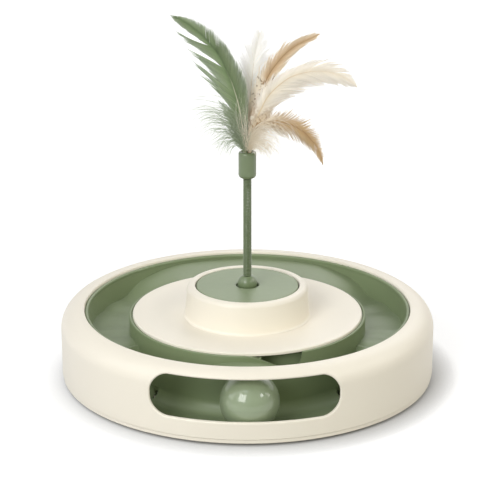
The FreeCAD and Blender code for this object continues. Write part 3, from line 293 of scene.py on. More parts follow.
WARM, WARMISH, COOL = (1.0, 0.98, 0.74), (1.0, 0.95, 0.9), (0.88, 0.92, 1.0)
soft_box("key_box", -31, 28, 1.7, 0.8, 15.0)
soft_box("answer_box", 55, 31, 1.8, 0.36, 3.2)
soft_box("high_box", -30, 62, 1.7, 0.75, 3.5, COOL)
soft_box("left_high_box", -70, 55, 1.7, 1.0, 4.2)
soft_box("left_box", -85, 25, 1.7, 1.0, 5.3)
soft_box("right_box", 95, 30, 1.7, 1.0, 8.9, WARMISH)
soft_box("back_box", 160, 38, 1.7, 1.2, 7.0)
soft_box("front_box", 24, 22, 1.9, 1.0, 6.3, WARM).visible_glossy = False

# %% The air
AIR_EVERYWHERE, AIR_FOR_GLOSS, AIR_FOR_CAMERA = 0.05, 0.4, 1.0

scene.world = bpy.data.worlds.new("studio_air")
scene.world.use_nodes = True
air = Nodes(scene.world.node_tree)
air.tree.nodes.clear()
dim = air.node("ShaderNodeBackground", {}, {
    "Color": WHITE, "Strength": air.ray("Is Glossy Ray") * AIR_FOR_GLOSS + AIR_EVERYWHERE})
bright = air.node("ShaderNodeBackground", {}, {"Color": WHITE, "Strength": AIR_FOR_CAMERA})
picked = air.node("ShaderNodeMixShader", {}, {0: air.ray("Is Camera Ray"), 1: dim, 2: bright})
air.feed(air.tree.nodes.new("ShaderNodeOutputWorld").inputs["Surface"], picked)
print("air nodes:", len(air.tree.nodes))

# %% [markdown]
# ## Moulded plastic
# The housing, the hub and the track are injection moulded in a satin finish. Up close such a surface
# has a very fine grain from the etched mould, and a trace of unevenness from cooling. Both are much
# smaller than the eye sees from here, so they mostly soften the highlights. The real edges are all a
# little round, which a bevel on the normal gives without changing the shape. The ball and the fittings
# on the stem are polished, which is a thin clear coat over the plastic. The track and its lip ring get
# a deeper green than the other green parts, which is in part painted shade of the deep groove. The
# track's upright faces are painted darker still, as shade.

# %% Plastic finishes
# How many of each pattern there are to a metre, and how deep the finest one is
CLOUD, SATIN, SPECKLE, GRAIN = 22.0, 260.0, 900.0, 1400.0
GRAIN_DEPTH = 0.0002


def moulded(name, tint, shade, roughness, grain=0.04, edge=0.0005, coat=0.0, painted_wall_shade=None):
    """Satin plastic with a fine grain and softly rounded edges. It can have a clear coat, and a darker
    colour painted on upright faces as shade."""
    made = Finish(name, IOR=1.46, Coat_Weight=coat, Coat_Roughness=0.06)
    body = made.mix(made.noise(CLOUD, 3.0) * 0.6 + made.noise(SPECKLE, 1.0) * 0.3, tint, shade)
    # Upright faces take the other colour as painted shade; faces that point up or down keep the body's
    # colour.
    if painted_wall_shade:
        facing = made.node("ShaderNodeNewGeometry", output="Normal")
        level = made.node("ShaderNodeSeparateXYZ", {}, {0: facing}, output="Z")
        body = made.mix(level.math("ABSOLUTE"), painted_wall_shade, body)
    made.set("Base Color", body)
    made.set("Roughness", made.noise(SATIN) * 0.10 + (roughness - 0.05))
    rounded = made.node("ShaderNodeBevel", {"samples": 4}, {"Radius": edge})
    bump = made.node("ShaderNodeBump", {}, {
        "Strength": grain, "Distance": GRAIN_DEPTH, "Height": made.noise(GRAIN), "Normal": rounded})
    return made.set("Normal", bump)


cream = moulded("cream_moulding", colour(243, 237, 223), colour(239, 232, 217), 0.42)
sage = moulded("sage_moulding", colour(150, 163, 131), colour(145, 158, 126), 0.45)
# The track's deeper green is in part painted shade of the deep groove, and its upright faces get a still
# darker green as painted shade.
groove_shaded_sage = moulded("track_moulding", colour(131, 144, 111), colour(126, 139, 106), 0.45,
                    painted_wall_shade=colour(122, 136, 101))
insert_sage = moulded("insert_moulding", colour(138, 151, 120), colour(134, 147, 116), 0.42)
ferrule_sage = moulded("ferrule_moulding", colour(112, 127, 93), colour(106, 121, 88), 0.36,
                       grain=0.02, coat=0.4)
ball_gloss = moulded("ball_moulding", colour(145, 159, 129), colour(140, 154, 124), 0.42,
                     grain=0.01, edge=0.0003, coat=0.9)
nylon = moulded("natural_nylon", colour(238, 236, 228), colour(230, 228, 220), 0.5)
rubber = moulded("pad_rubber", colour(128, 130, 122), colour(118, 120, 112), 0.75, grain=0.1)
bead_plastic = moulded("bead_plastic", colour(226, 220, 204), colour(218, 212, 196), 0.3)
print("plastics:", [m.material.name for m in (
    cream, sage, groove_shaded_sage, insert_sage, ferrule_sage, ball_gloss, nylon, rubber, bead_plastic)])

# %% [markdown]
# ## Metal
# The screws and pins are turned steel. Turning leaves fine rings, so the roughness varies round the
# piece in narrow bands.

# %% Steel
steel = Finish("turned_steel", Metallic=1.0, IOR=2.5)
bands = steel.node("ShaderNodeTexWave", {"wave_type": "RINGS", "rings_direction": "Z"}, {
    "Vector": steel.place(), "Scale": 900.0, "Distortion": 1.5})
steel.set("Base Color", steel.mix(bands * 0.3, colour(178, 178, 176), colour(160, 160, 158)))
steel.set("Roughness", bands * 0.12 + 0.26)

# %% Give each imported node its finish
# The slots of the spring and the feathers are not here: those nodes are replaced further down.
FINISHES = {
    "cream_plastic": cream, "green_plastic": sage, "ball_plastic": ball_gloss, "bearing_nylon": nylon,
    "rubber": rubber, "steel": steel, "bead_plastic": bead_plastic}
# The track and its lip ring take the deeper green, which in part paints the shade of the groove.
OWN_SHADES = {"track_channel": groove_shaded_sage, "track_lip_ring": groove_shaded_sage, "hub_insert": insert_sage,
              "ferrule": ferrule_sage, "swivel_knob": ferrule_sage}
slot_of = {row["node"]: row["material_slot"] for row in frame["record"]["subparts"]}
for name, node in nodes.items():
    finish = OWN_SHADES.get(name) or FINISHES.get(slot_of[name])
    if finish:
        node.data.materials.clear()
        node.data.materials.append(finish.material)
print("finished nodes:", sum(slot_of[n] in FINISHES for n in nodes), "of", len(nodes))

# %% [markdown]
# ## The close-wound spring
# The stem is one steel wire, painted green, wound so closely that its turns touch. It bends with the
# wand and stands up again by itself. A stack of rings would look the same from afar, but a real spring
# is one helix, and it has to bend as one. Geometry Nodes wind it: a spiral curve gives the path and a
# small circle gives the wire.

# %% Trees that make geometry
class Tree(Nodes):
    """A geometry node tree with named inputs that ends in real geometry and one material."""

    def __init__(self, name, **inputs):
        super().__init__(bpy.data.node_groups.new(name, "GeometryNodeTree"))
        face = self.tree.interface
        for way in ("INPUT", "OUTPUT"):
            face.new_socket("Geometry", in_out=way, socket_type="NodeSocketGeometry")
        for key, value in inputs.items():
            kind = "NodeSocketInt" if isinstance(value, int) else "NodeSocketFloat"
            face.new_socket(key, in_out="INPUT", socket_type=kind).default_value = value
        self.inlet = self.tree.nodes.new("NodeGroupInput")
        self.outlet = self.tree.nodes.new("NodeGroupOutput")

    def input(self, name="Geometry"):
        return Value(self, self.inlet.outputs[name])

    def attribute(self, name):
        return self.node("GeometryNodeInputNamedAttribute", {"data_type": "FLOAT"}, {"Name": name})

    def scaled(self, vector, by):
        return self.node("ShaderNodeVectorMath", {"operation": "SCALE"}, {0: vector, "Scale": by})

    def finish(self, geometry, material):
        real = self.node("GeometryNodeRealizeInstances", {}, {"Geometry": geometry})
        smooth = self.node("GeometryNodeSetShadeSmooth", {}, {"Geometry": real})
        dressed = self.node("GeometryNodeSetMaterial", {}, {"Geometry": smooth, "Material": material})
        self.feed(self.outlet.inputs[0], dressed)


def grow(name, start, tree, **sizes):
    """The plain mesh that a tree makes of a starting mesh, as an object of its own."""
    start_object = bpy.data.objects.new(name + "_start", start)
    scene.collection.objects.link(start_object)
    modifier = start_object.modifiers.new("grow", "NODES")
    modifier.node_group = tree.tree
    for item in tree.tree.interface.items_tree:
        if item.in_out == "INPUT" and item.name in sizes:
            modifier[item.identifier] = sizes[item.name]
    bpy.context.view_layer.update()
    graph = bpy.context.evaluated_depsgraph_get()
    mesh = bpy.data.meshes.new_from_object(start_object.evaluated_get(graph),
                                           preserve_all_data_layers=True, depsgraph=graph)
    bpy.data.objects.remove(start_object)
    mesh.name = name
    made = bpy.data.objects.new(name, mesh)
    scene.collection.objects.link(made)
    return made


# %% Green paint on wire
wire_paint = Finish("wire_paint", IOR=1.5, Coat_Weight=0.25, Coat_Roughness=0.2)
wire_paint.set("Base Color", wire_paint.mix(wire_paint.noise(300.0) * 0.7,
                                            colour(110, 124, 92), colour(95, 109, 77)))
wire_paint.set("Roughness", wire_paint.noise(900.0) * 0.12 + 0.32)

# %% Wind the spring
SPRING = dict(Turns=68.5, Radius=2.42 * MM, Wire=0.45 * MM, Foot=68.3 * MM, Rise=67.7 * MM)
winding = Tree("winding", **SPRING)
spiral = winding.node("GeometryNodeCurveSpiral", {}, {
    "Resolution": 18, "Rotations": winding.input("Turns"), "Start Radius": winding.input("Radius"),
    "End Radius": winding.input("Radius"), "Height": winding.input("Rise")})
lift = winding.node("ShaderNodeCombineXYZ", {}, {"Z": winding.input("Foot")})
stood = winding.node("GeometryNodeTransform", {}, {"Geometry": spiral, "Translation": lift})
wire = winding.node("GeometryNodeCurvePrimitiveCircle", {}, {
    "Resolution": 8, "Radius": winding.input("Wire")})
wound = winding.node("GeometryNodeCurveToMesh", {}, {
    "Curve": stood, "Profile Curve": wire, "Fill Caps": True})
winding.finish(wound, wire_paint.material)
spring = grow("wound_spring", bpy.data.meshes.new("seed"), winding, **SPRING)
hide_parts("stem_spring")
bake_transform(spring)
print("spring faces:", len(spring.data.polygons))

# %% [markdown]
# ## How a feather is built
# A feather is a shaft with hundreds of barbs on each side. Each barb leaves the shaft at a slant and
# sweeps forward to the edge. Barbs hold on to their neighbours, so a vane looks like a sheet, until
# it splits: then a lock of barbs ends in a point of its own, with a notch beside it. A picture on a
# card can't give this from the side, so every barb is made. Each lock is written down as a few barbs:
# where a barb leaves the shaft, as a share of its length, and where its tip is, in millimetres from
# the middle and up. All the barbs between them follow by interpolation, and Geometry Nodes give these
# lines their flat, tapering body.

# %% Lines through a few points
def smooth_line(points, count):
    """Points at even steps along a smooth line through the given ones."""
    known = np.asarray(points, float)
    reach = np.r_[0, np.cumsum(np.linalg.norm(np.diff(known, axis=0), axis=1))]
    slope = np.gradient(known, reach, axis=0)
    place = np.linspace(0, reach[-1], count)
    i = np.clip(np.searchsorted(reach, place, "right") - 1, 0, len(reach) - 2)
    step = (reach[i + 1] - reach[i])[:, None]
    u = (place - reach[i])[:, None] / step
    return ((2 * u**3 - 3 * u**2 + 1) * known[i] + (u**3 - 2 * u**2 + u) * step * slope[i]
            + (3 * u**2 - 2 * u**3) * known[i + 1] + (u**3 - u**2) * step * slope[i + 1])


def strands_mesh(name, lines, breadths, shades, places=0.5):
    """Lines in millimetres as loose edges. Each point knows its breadth, its strand's shade, how far
    along the strand it is, and the strand's place on the shaft."""
    lines = np.asarray(lines, float)
    count, steps = lines.shape[:2]
    first = (np.arange(count)[:, None] * steps + np.arange(steps - 1)).ravel()
    mesh = bpy.data.meshes.new(name)
    mesh.from_pydata(lines.reshape(-1, 3) * MM, np.c_[first, first + 1], [])
    known = {"breadth": np.asarray(breadths) * MM, "shade": np.reshape(shades, (-1, 1)),
             "along": np.linspace(0, 1, steps), "place": np.reshape(places, (-1, 1))}
    for key, values in known.items():
        spread = np.broadcast_to(values, (count, steps))
        layer = mesh.attributes.new(key, "FLOAT", "POINT")
        layer.data.foreach_set("value", np.ascontiguousarray(spread, np.float32).ravel())
    return mesh


# %% The tree that gives strands a body
# How far the tip of a barb may stray, and how many such bends there are to a metre
BARB_CURL, BENDS_TO_METRE = 0.25 * MM, 260.0
# A strand's thickness, as a share of its breadth
FLAT, ROUND = 0.5, 0.8


def strand_tree(name, material, thickness):
    """Tree that sweeps a small diamond along each strand, as thick as asked."""
    sizes = dict(Thickness=thickness, Curl=BARB_CURL, Seed=7)
    tree = Tree(name, **sizes)
    lines = tree.node("GeometryNodeMeshToCurve", {}, {"Mesh": tree.input()})
    along = tree.attribute("along")
    drift = tree.node("ShaderNodeTexNoise", {"noise_dimensions": "4D"}, {
        "Vector": tree.scaled(tree.node("GeometryNodeInputPosition"), BENDS_TO_METRE),
        "W": tree.attribute("shade") + tree.input("Seed"), "Scale": 1.0}, output="Color")
    centred = tree.node("ShaderNodeVectorMath", {"operation": "SUBTRACT"}, {0: drift, 1: (0.5, 0.5, 0.5)})
    pushed = tree.scaled(centred, along * along * tree.input("Curl"))
    bent = tree.node("GeometryNodeSetPosition", {}, {"Geometry": lines, "Offset": pushed})
    ring = tree.node("GeometryNodeCurvePrimitiveCircle", {}, {"Resolution": 4, "Radius": 1.0})
    slim = tree.node("ShaderNodeCombineXYZ", {}, {"X": tree.input("Thickness"), "Y": 1.0, "Z": 1.0})
    section = tree.node("GeometryNodeTransform", {}, {"Geometry": ring, "Scale": slim})
    body = tree.node("GeometryNodeCurveToMesh", {}, {
        "Curve": bent, "Profile Curve": section, "Scale": tree.attribute("breadth"), "Fill Caps": True})
    tree.finish(body, material)
    return tree, sizes


# %% Barbs of one vane
BARB_POINTS = 9
# Shares of a barb's length: how far its tip leans out of the vane, and where it turns to that tip
CUP, BOW = 0.10, 0.45
# No two barbs are the same: slack in the root's place, the tip's lean and the shade. Most barbs end a
# little short, and one in five stands out
ROOT_SLACK, TIP_SLACK, SHADE_SLACK = 0.3, 0.02, 0.16
SHORTER, LONGER, LONG_ONES = 0.06, 0.16, 0.2


def vane(shaft, locks, spacing, lean, rng, side, split, group):
    """Barb lines of one side of a feather, with the shade and the place on the shaft of each."""
    length = np.linalg.norm(np.diff(shaft, axis=0), axis=1).sum()
    heading = np.gradient(shaft, axis=0)
    heading /= np.linalg.norm(heading, axis=1)[:, None]
    across = np.cross(heading, (0, -1, 0))
    turn = math.radians(lean)
    grown = np.linspace(0, 1, BARB_POINTS)[:, None]
    lines, shades, places = [], [], []
    for lock in locks:
        rows = np.array(lock, float)
        tips_apart = np.linalg.norm(np.diff(rows[:, 1:], axis=0), axis=1).sum()
        amount = max(3, int(max((rows[-1, 0] - rows[0, 0]) * length, tips_apart) / spacing))
        roots = np.linspace(rows[0, 0], rows[-1, 0], amount)
        tips = np.array([np.interp(roots, rows[:, 0], rows[:, k]) for k in (1, 2)]).T
        first = 0
        while first < amount:
            last = min(amount, first + int(rng.integers(*group)))
            middle, tone = tips[first:last].mean(axis=0), rng.uniform(0.3, 0.7)
            grade = rng.normal(0, split / 9)
            for share, tip in zip(roots[first:last], tips[first:last]):
                share = share + rng.normal(0, ROOT_SLACK) * spacing / length
                at = int(np.clip(share, 0, 1) * (len(shaft) - 1))
                root = shaft[at]
                tip = tip + (middle - tip) * split * rng.uniform(0.4, 1.1)
                reach = np.array((tip[0], root[1], tip[1])) - root
                size = np.linalg.norm(reach)
                extra = grade - abs(rng.normal(0, SHORTER))
                extra += rng.uniform(0, LONGER) * (rng.random() < LONG_ONES)
                tip = root + reach * (1 + extra)
                tip[1] += CUP * size + rng.normal(0, TIP_SLACK) * size
                start = heading[at] * math.cos(turn) + across[at] * side * math.sin(turn)
                bend = root + start * size * BOW
                bend[1] -= 0.25 * CUP * size
                lines.append((1 - grown)**2 * root + 2 * grown * (1 - grown) * bend + grown**2 * tip)
                shades.append(tone + rng.normal(0, SHADE_SLACK))
                places.append(share)
            first = last
    return lines, shades, places


# %% A whole feather
SPINE_POINTS, SHAFT_POINTS = 300, 60


def barb_breadth(count, widest, fringe):
    """A barb keeps its breadth where it lies against its neighbours and runs out to a hair."""
    taper = 1 - np.linspace(0, 1, BARB_POINTS)**fringe * 0.9
    return np.tile(widest * taper, (count, 1))


def join_meshes(name, parts):
    """One object from several, each keeping its materials and attributes."""
    for other in scene.objects:
        other.select_set(other in parts)
    bpy.context.view_layer.objects.active = parts[0]
    bpy.ops.object.join()
    parts[0].name = parts[0].data.name = name
    return parts[0]


def feather(name, node, shaft, left, right, vane_finish, shaft_finish, seed,
            spacing=0.25, breadth=0.26, lean=(34, 34), quill=0.62, split=(0.5, 0.15),
            group=(4, 13), tones=(0.0, 0.0), proud=0.0, fringe=1.5):
    """A whole feather: both vanes and the shaft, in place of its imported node. Pairs are for the left
    and the right vane, and lengths are in millimetres."""
    rng = np.random.default_rng(seed)
    spine = smooth_line(shaft, SPINE_POINTS)
    lines, shades, places = [], [], []
    for side, locks, slant, apart, tone in zip((-1, 1), (left, right), lean, split, tones):
        some_lines, some_shades, some_places = vane(spine, locks, spacing, slant, rng, side, apart, group)
        lines += some_lines
        shades += [shade + tone for shade in some_shades]
        places += some_places
    tree, sizes = strand_tree(name + "_barb_tree", vane_finish.material, FLAT)
    breadths = barb_breadth(len(lines), breadth, fringe)
    mesh = strands_mesh(name + "_lines", lines, breadths, shades, places)
    barbs = grow(name + "_barbs", mesh, tree, **sizes)
    core = smooth_line(shaft, SHAFT_POINTS)[None] - (0, proud, 0)
    taper = (quill * (1 - np.linspace(0, 1, SHAFT_POINTS)**0.8 * 0.86))[None]
    tree, sizes = strand_tree(name + "_shaft_tree", shaft_finish.material, ROUND)
    stem = grow(name + "_shaft", strands_mesh(name + "_core", core, taper, [0.5]), tree,
                **dict(sizes, Curl=0.0))
    whole = join_meshes(name, [barbs, stem])
    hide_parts(node)
    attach(whole, "wand_head")
    print(name, "barbs:", len(lines), "faces:", len(whole.data.polygons))


# %% Feather finishes
# How many of each pattern there are to a metre
TINT_CLOUDS, FOOT_CLOUDS, FLECKS, HORN_CLOUDS = 90.0, 120.0, 620.0, 400.0


def barb_finish(name, root, middle, tip, contrast=(0.84, 1.1), foot=None, fleck=None,
                until=0.4, shaft_side=1.0, shine_through=0.0):
    """Colour that runs from the shaft to the tip of each barb, a little different on each one. The
    vane's foot may have a colour of its own, with flecks in it. Thin pale barbs let light through,
    and a faint light of their own stands in for it."""
    made = Finish(name, IOR=1.45, Roughness=0.7, Sheen_Weight=0.3, Specular_IOR_Level=0.25,
                  Emission_Strength=shine_through)
    along = made.attribute("along")
    painted = made.ramp(along + made.noise(TINT_CLOUDS) * 0.2 - 0.1,
                        [(0.0, root), (0.45, middle), (0.97, tip)])
    if foot:
        height = made.attribute("place") + made.noise(FOOT_CLOUDS) * 0.16 - 0.08
        low = made.remap(height, (until - 0.07, until + 0.05), (1.0, 0.0))
        spots = made.remap(made.noise(FLECKS, 1.0) - along * shaft_side, (0.46, 0.58), (0.0, 0.85))
        painted = made.mix(low, painted, made.mix(spots, foot, fleck))
    tone = made.remap(made.attribute("shade"), (0.0, 1.0), contrast)
    grey = made.node("ShaderNodeCombineColor", {}, {0: tone, 1: tone, 2: tone})
    tinted = made.mix(1.0, painted, grey, "MULTIPLY")
    if shine_through:
        made.set("Emission Color", tinted)
    return made.set("Base Color", tinted)


def horn(name, foot, tip):
    """Horny shaft, smooth and a little glossy, whose colour changes up its length."""
    made = Finish(name, IOR=1.54, Roughness=0.35)
    height = made.attribute("along") + made.noise(HORN_CLOUDS) * 0.15
    return made.set("Base Color", made.ramp(height, [(0.34, foot), (0.62, tip)]))


green_barbs = barb_finish("green_barbs", colour(114, 134, 94), colour(137, 153, 117), colour(176, 190, 163))
white_barbs = barb_finish("white_barbs", colour(250, 248, 242), colour(254, 252, 248), colour(255, 254, 252),
                          contrast=(0.93, 1.03), shine_through=0.04)
cream_barbs = barb_finish("cream_barbs", colour(226, 215, 196), colour(238, 231, 219), colour(249, 243, 234),
                          contrast=(0.88, 1.05), foot=colour(230, 220, 204), fleck=colour(178, 150, 114),
                          until=0.24, shaft_side=-0.16, shine_through=0.13)
tan_barbs = barb_finish("tan_barbs", colour(190, 158, 120), colour(222, 200, 170), colour(240, 226, 204),
                        foot=colour(246, 236, 218), fleck=colour(150, 118, 80), until=0.50,
                        shaft_side=0.2, shine_through=0.04)
mottled_barbs = barb_finish("mottled_barbs", colour(186, 153, 112), colour(202, 174, 134),
                            colour(214, 192, 158), foot=colour(226, 209, 183), fleck=colour(178, 147, 108),
                            until=0.46, shaft_side=0.12)
green_horn = horn("green_horn", colour(226, 226, 200), colour(92, 112, 74))
golden_horn = horn("golden_horn", colour(236, 218, 178), colour(205, 170, 112))
brown_horn = horn("brown_horn", colour(178, 146, 102), colour(152, 116, 70))

# %% The green feather
feather(
    "green_plume", "green_feather",
    [(-2.2, -1.5, 152), (-2.4, -1.8, 158.6), (-2.8, -2.1, 166.4), (-4.1, -2.6, 177.2), (-5.3, -2.9, 184.3),
     (-7.8, -3.3, 194.0), (-10.2, -3.7, 201.6), (-13.2, -4.1, 208.6), (-16.1, -4.5, 215.6),
     (-20.0, -4.9, 222.2), (-23.8, -5.3, 226.7), (-27.7, -5.8, 231.6), (-33.5, -6.5, 236.6),
     (-39.3, -7.2, 241.1), (-44.1, -7.8, 244.1), (-48.8, -8.4, 245.9)],
    [[(0.06, -8.3, 159.7), (0.08, -10.8, 164.8), (0.11, -12.8, 171.0), (0.14, -14.2, 176.6),
      (0.17, -17.2, 182.3), (0.20, -19.1, 187.9), (0.215, -17.0, 188.6)],
     [(0.185, -10.6, 183.2), (0.22, -15.2, 189.4), (0.24, -18.4, 193.2), (0.265, -23.1, 197.5),
      (0.29, -27.9, 201.8), (0.30, -29.9, 205.1), (0.32, -26.5, 204.8)],
     [(0.27, -18.4, 198.6), (0.31, -26.5, 205.7), (0.33, -32.3, 210.1), (0.35, -34.7, 213.7),
      (0.37, -31.0, 212.2)],
     [(0.34, -15.4, 196.2), (0.41, -24.9, 208.6), (0.44, -27.8, 212.2), (0.47, -31.8, 216.2),
      (0.50, -35.7, 219.7), (0.53, -40.7, 223.7)],
     [(0.535, -20.5, 215.3), (0.545, -22.9, 217.2), (0.57, -29.8, 221.2), (0.61, -36.1, 225.6),
      (0.65, -42.4, 230.1), (0.69, -46.2, 234.9)],
     [(0.70, -29.7, 228.6), (0.715, -34.5, 232.0), (0.745, -39.4, 235.4), (0.79, -43.2, 238.8),
      (0.88, -46.6, 242.3), (0.97, -48.6, 245.2)]],
    [[(0.06, 0.7, 163.0), (0.13, 0.6, 176.5), (0.20, 0.5, 186.5), (0.25, 0.4, 194.2), (0.30, -0.6, 202.1),
      (0.35, -2.6, 207.1), (0.40, -5.2, 213.0), (0.45, -8.2, 217.3), (0.50, -10.7, 221.6),
      (0.55, -13.5, 226.2), (0.62, -17.5, 231.2), (0.69, -22.3, 235.7),
      (0.75, -27.2, 239.4), (0.81, -31.6, 241.8), (0.88, -37.8, 244.3), (0.95, -43.2, 245.6),
      (1.0, -48.4, 246.0)]],
    green_barbs, green_horn, seed=11, quill=0.72, tones=(0.3, -0.35), proud=0.6, fringe=2.0)

# %% The white feather
feather(
    "white_plume", "white_feather",
    [(-1.2, 2.6, 152), (-1.0, 4.0, 161), (0.0, 5.6, 172), (2.1, 8.6, 188.1), (3.1, 10.6, 200.9),
     (4.1, 11.8, 209.6), (5.6, 13.2, 218.7), (7.4, 14.6, 226.3), (8.4, 15.4, 231.4)],
    [[(0.1, -5, 172), (0.2, -5.5, 185), (0.33, -5.8, 197), (0.44, -6.2, 207), (0.55, -5.6, 215),
      (0.64, -4.0, 220), (0.74, -1.2, 225.6), (0.84, 2.2, 229.6), (0.97, 7.0, 233.0)]],
    [[(0.1, 8, 174), (0.2, 9, 187), (0.33, 11.5, 197), (0.46, 14.1, 207), (0.57, 16.2, 215),
      (0.68, 17, 222.4), (0.78, 15.4, 227.5), (0.88, 12.6, 231.4), (0.97, 9.6, 233.2)]],
    white_barbs, golden_horn, seed=12, spacing=0.34, breadth=0.17, lean=(24, 24), quill=0.34,
    split=(0.85, 0.85), group=(3, 8))

# %% The upper tan feather
feather(
    "tan_plume_upper", "tan_feather_upper",
    [(0.6, 2.2, 152), (1.5, 3.4, 161), (2.6, 3.9, 170), (4.7, 4.4, 178.4), (8.2, 5.0, 187.7),
     (10.2, 5.5, 194.7), (12.8, 6.0, 201.6), (15.9, 6.5, 207), (19.5, 7.0, 211.7), (23.1, 7.5, 215.9),
     (27.2, 8.1, 219.6), (31.3, 8.7, 222.5), (35.4, 9.3, 224.6), (41.6, 10.1, 227.2), (47.2, 10.9, 229.8)],
    [[(0.1, -1, 176), (0.2, 1.1, 186), (0.29, 2.9, 195), (0.37, 5.5, 202.7), (0.44, 9.5, 209),
      (0.49, 13.3, 213.4), (0.53, 15.1, 217), (0.56, 17.4, 219.3), (0.6, 21, 222),
      (0.64, 24.1, 223.8), (0.7, 28.7, 225.9), (0.75, 33.3, 228), (0.81, 38, 229.7),
      (0.86, 41.6, 230.9)],
     [(0.87, 42, 230.6), (0.95, 45.4, 230.4), (1.0, 47.2, 229.9)]],
    [[(0.1, 7, 177), (0.2, 10.8, 187), (0.29, 13.4, 195.2), (0.36, 16, 200.3), (0.42, 18.5, 203.7),
      (0.47, 22.2, 207.5), (0.53, 26.2, 211.1), (0.6, 29.3, 215.9), (0.67, 33.4, 219.3), (0.75, 38, 222.8),
      (0.83, 41.6, 225.1), (0.91, 45, 227.2), (1.0, 47.2, 229.7)]],
    tan_barbs, brown_horn, seed=13, spacing=0.28, breadth=0.22, split=(0.8, 0.8), group=(3, 9))

# %% The arching cream feather
feather(
    "cream_plume", "cream_feather",
    [(2.0, 1.0, 152), (2.7, 0.8, 162.2), (4.6, 0.6, 171.6), (9.2, 0.3, 183.1), (12.3, 0.1, 189.3),
     (16.9, -0.2, 195.1), (22.0, -0.5, 199.8), (28.1, -0.9, 204.1), (34.3, -1.4, 206.4),
     (41.5, -2.0, 208.0), (46.6, -2.4, 208.3), (51.7, -2.9, 208.0), (56.9, -3.3, 206.7),
     (62.1, -3.9, 204.6), (67.3, -4.5, 201.4), (70.9, -5.0, 198.4)],
    [[(0.1, -0.5, 170), (0.14, 1.1, 177), (0.2, 3, 184.5), (0.26, 6.6, 192.5), (0.32, 10.7, 198.5),
      (0.38, 15.9, 203.6), (0.44, 23, 208), (0.46, 27.1, 209.4), (0.49, 31.2, 211.0),
      (0.52, 35.3, 212.4), (0.55, 39.4, 214.3), (0.59, 44, 215.6), (0.62, 49.1, 216.1),
      (0.66, 55.5, 216.1)],
     [(0.665, 54.2, 213.7), (0.71, 59.4, 213), (0.76, 63, 211.1)],
     [(0.77, 64.5, 210), (0.83, 67.4, 207)],
     [(0.84, 67.9, 205.7), (0.92, 69.6, 202.5), (1.0, 70.9, 198.6)]],
    [[(0.1, 6.5, 166), (0.13, 9.5, 171), (0.16, 13.5, 176), (0.2, 17, 181), (0.24, 20, 184.5),
      (0.27, 24.2, 187.0), (0.32, 30.3, 190.0), (0.36, 34.4, 192.0), (0.41, 38, 194.0), (0.44, 41.0, 195.1)],
     [(0.44, 38.5, 195.9), (0.48, 42.5, 196.6), (0.53, 46.5, 196.9), (0.58, 50, 197.4), (0.64, 55, 198.2),
      (0.69, 58.1, 198.2)],
     [(0.70, 58.5, 198.0), (0.79, 63.8, 197.9), (0.91, 68.3, 197.8), (1.0, 70.9, 198.3)]],
    cream_barbs, golden_horn, seed=14, split=(0.6, 0.6), quill=0.5)

# %% The lower tan feather
feather(
    "tan_plume_lower", "tan_feather_lower",
    [(1.4, -2.4, 152), (1.8, -3.0, 159), (3.0, -3.8, 167.4), (5.2, -4.2, 172), (8.6, -4.5, 175.1),
     (14.4, -5.0, 175.2), (21.4, -5.6, 174.8), (27.2, -6.1, 173.9), (31.8, -6.5, 172.1), (36.5, -6.9, 169.1),
     (40.5, -7.3, 164.9), (44.7, -7.8, 159.5), (47.6, -8.2, 153.5), (49.3, -8.7, 147.1)],
    [[(0.1, -0.5, 168), (0.15, 2, 174), (0.2, 5.6, 178.5), (0.26, 10.8, 181.4), (0.33, 17.9, 183.1),
      (0.38, 23, 183), (0.44, 28.3, 183), (0.49, 32.9, 181.6), (0.57, 39.0, 177.6), (0.62, 41.6, 174.6),
      (0.67, 44.6, 171.2), (0.75, 47.5, 165.5), (0.83, 49.3, 159.5), (0.91, 49.9, 153.5),
      (1.0, 49.4, 147.4)]],
    [[(0.1, 6, 163), (0.15, 9.5, 167), (0.21, 13, 167.3), (0.27, 16, 166.6), (0.35, 22.6, 164.6),
      (0.41, 27.3, 162.3), (0.47, 30.7, 160.7), (0.53, 34.0, 160.3), (0.58, 37.0, 159.2),
      (0.66, 40.0, 157.0), (0.76, 43.2, 154), (0.86, 46.4, 150.4), (1.0, 49, 147.2)]],
    mottled_barbs, brown_horn, seed=15, spacing=0.28, breadth=0.22, split=(0.85, 0.85), group=(3, 9))

# %% [markdown]
# ## Down
# Under the feathers sits down: hairs too soft to hold together, which curl out in all directions. One
# tuft is dyed green and leans left, the other is cream and leans right. A few guide hairs set how far
# they reach and how they droop, in millimetres from the middle and up. Each hair then lies somewhere
# between two guides, turned a little about the stem, so the tuft is round from the side as well and
# not a flat fan.

# %% Hairs between guides
HAIR_POINTS, HAIR_CURL = 14, 2.0 * MM
# A hair's length, breadth and shade lie between two values, and so does how often it sways
LONGEST, BREADTHS, SHADES, SWAYS = 1.06, (0.7, 1.3), (0.2, 0.9), (4, 11)
# The roots are scattered sideways, in depth and in height, in millimetres
SIDE_SCATTER, DEPTH_SCATTER, HEIGHTS = 0.9, 1.2, (-1, 4)


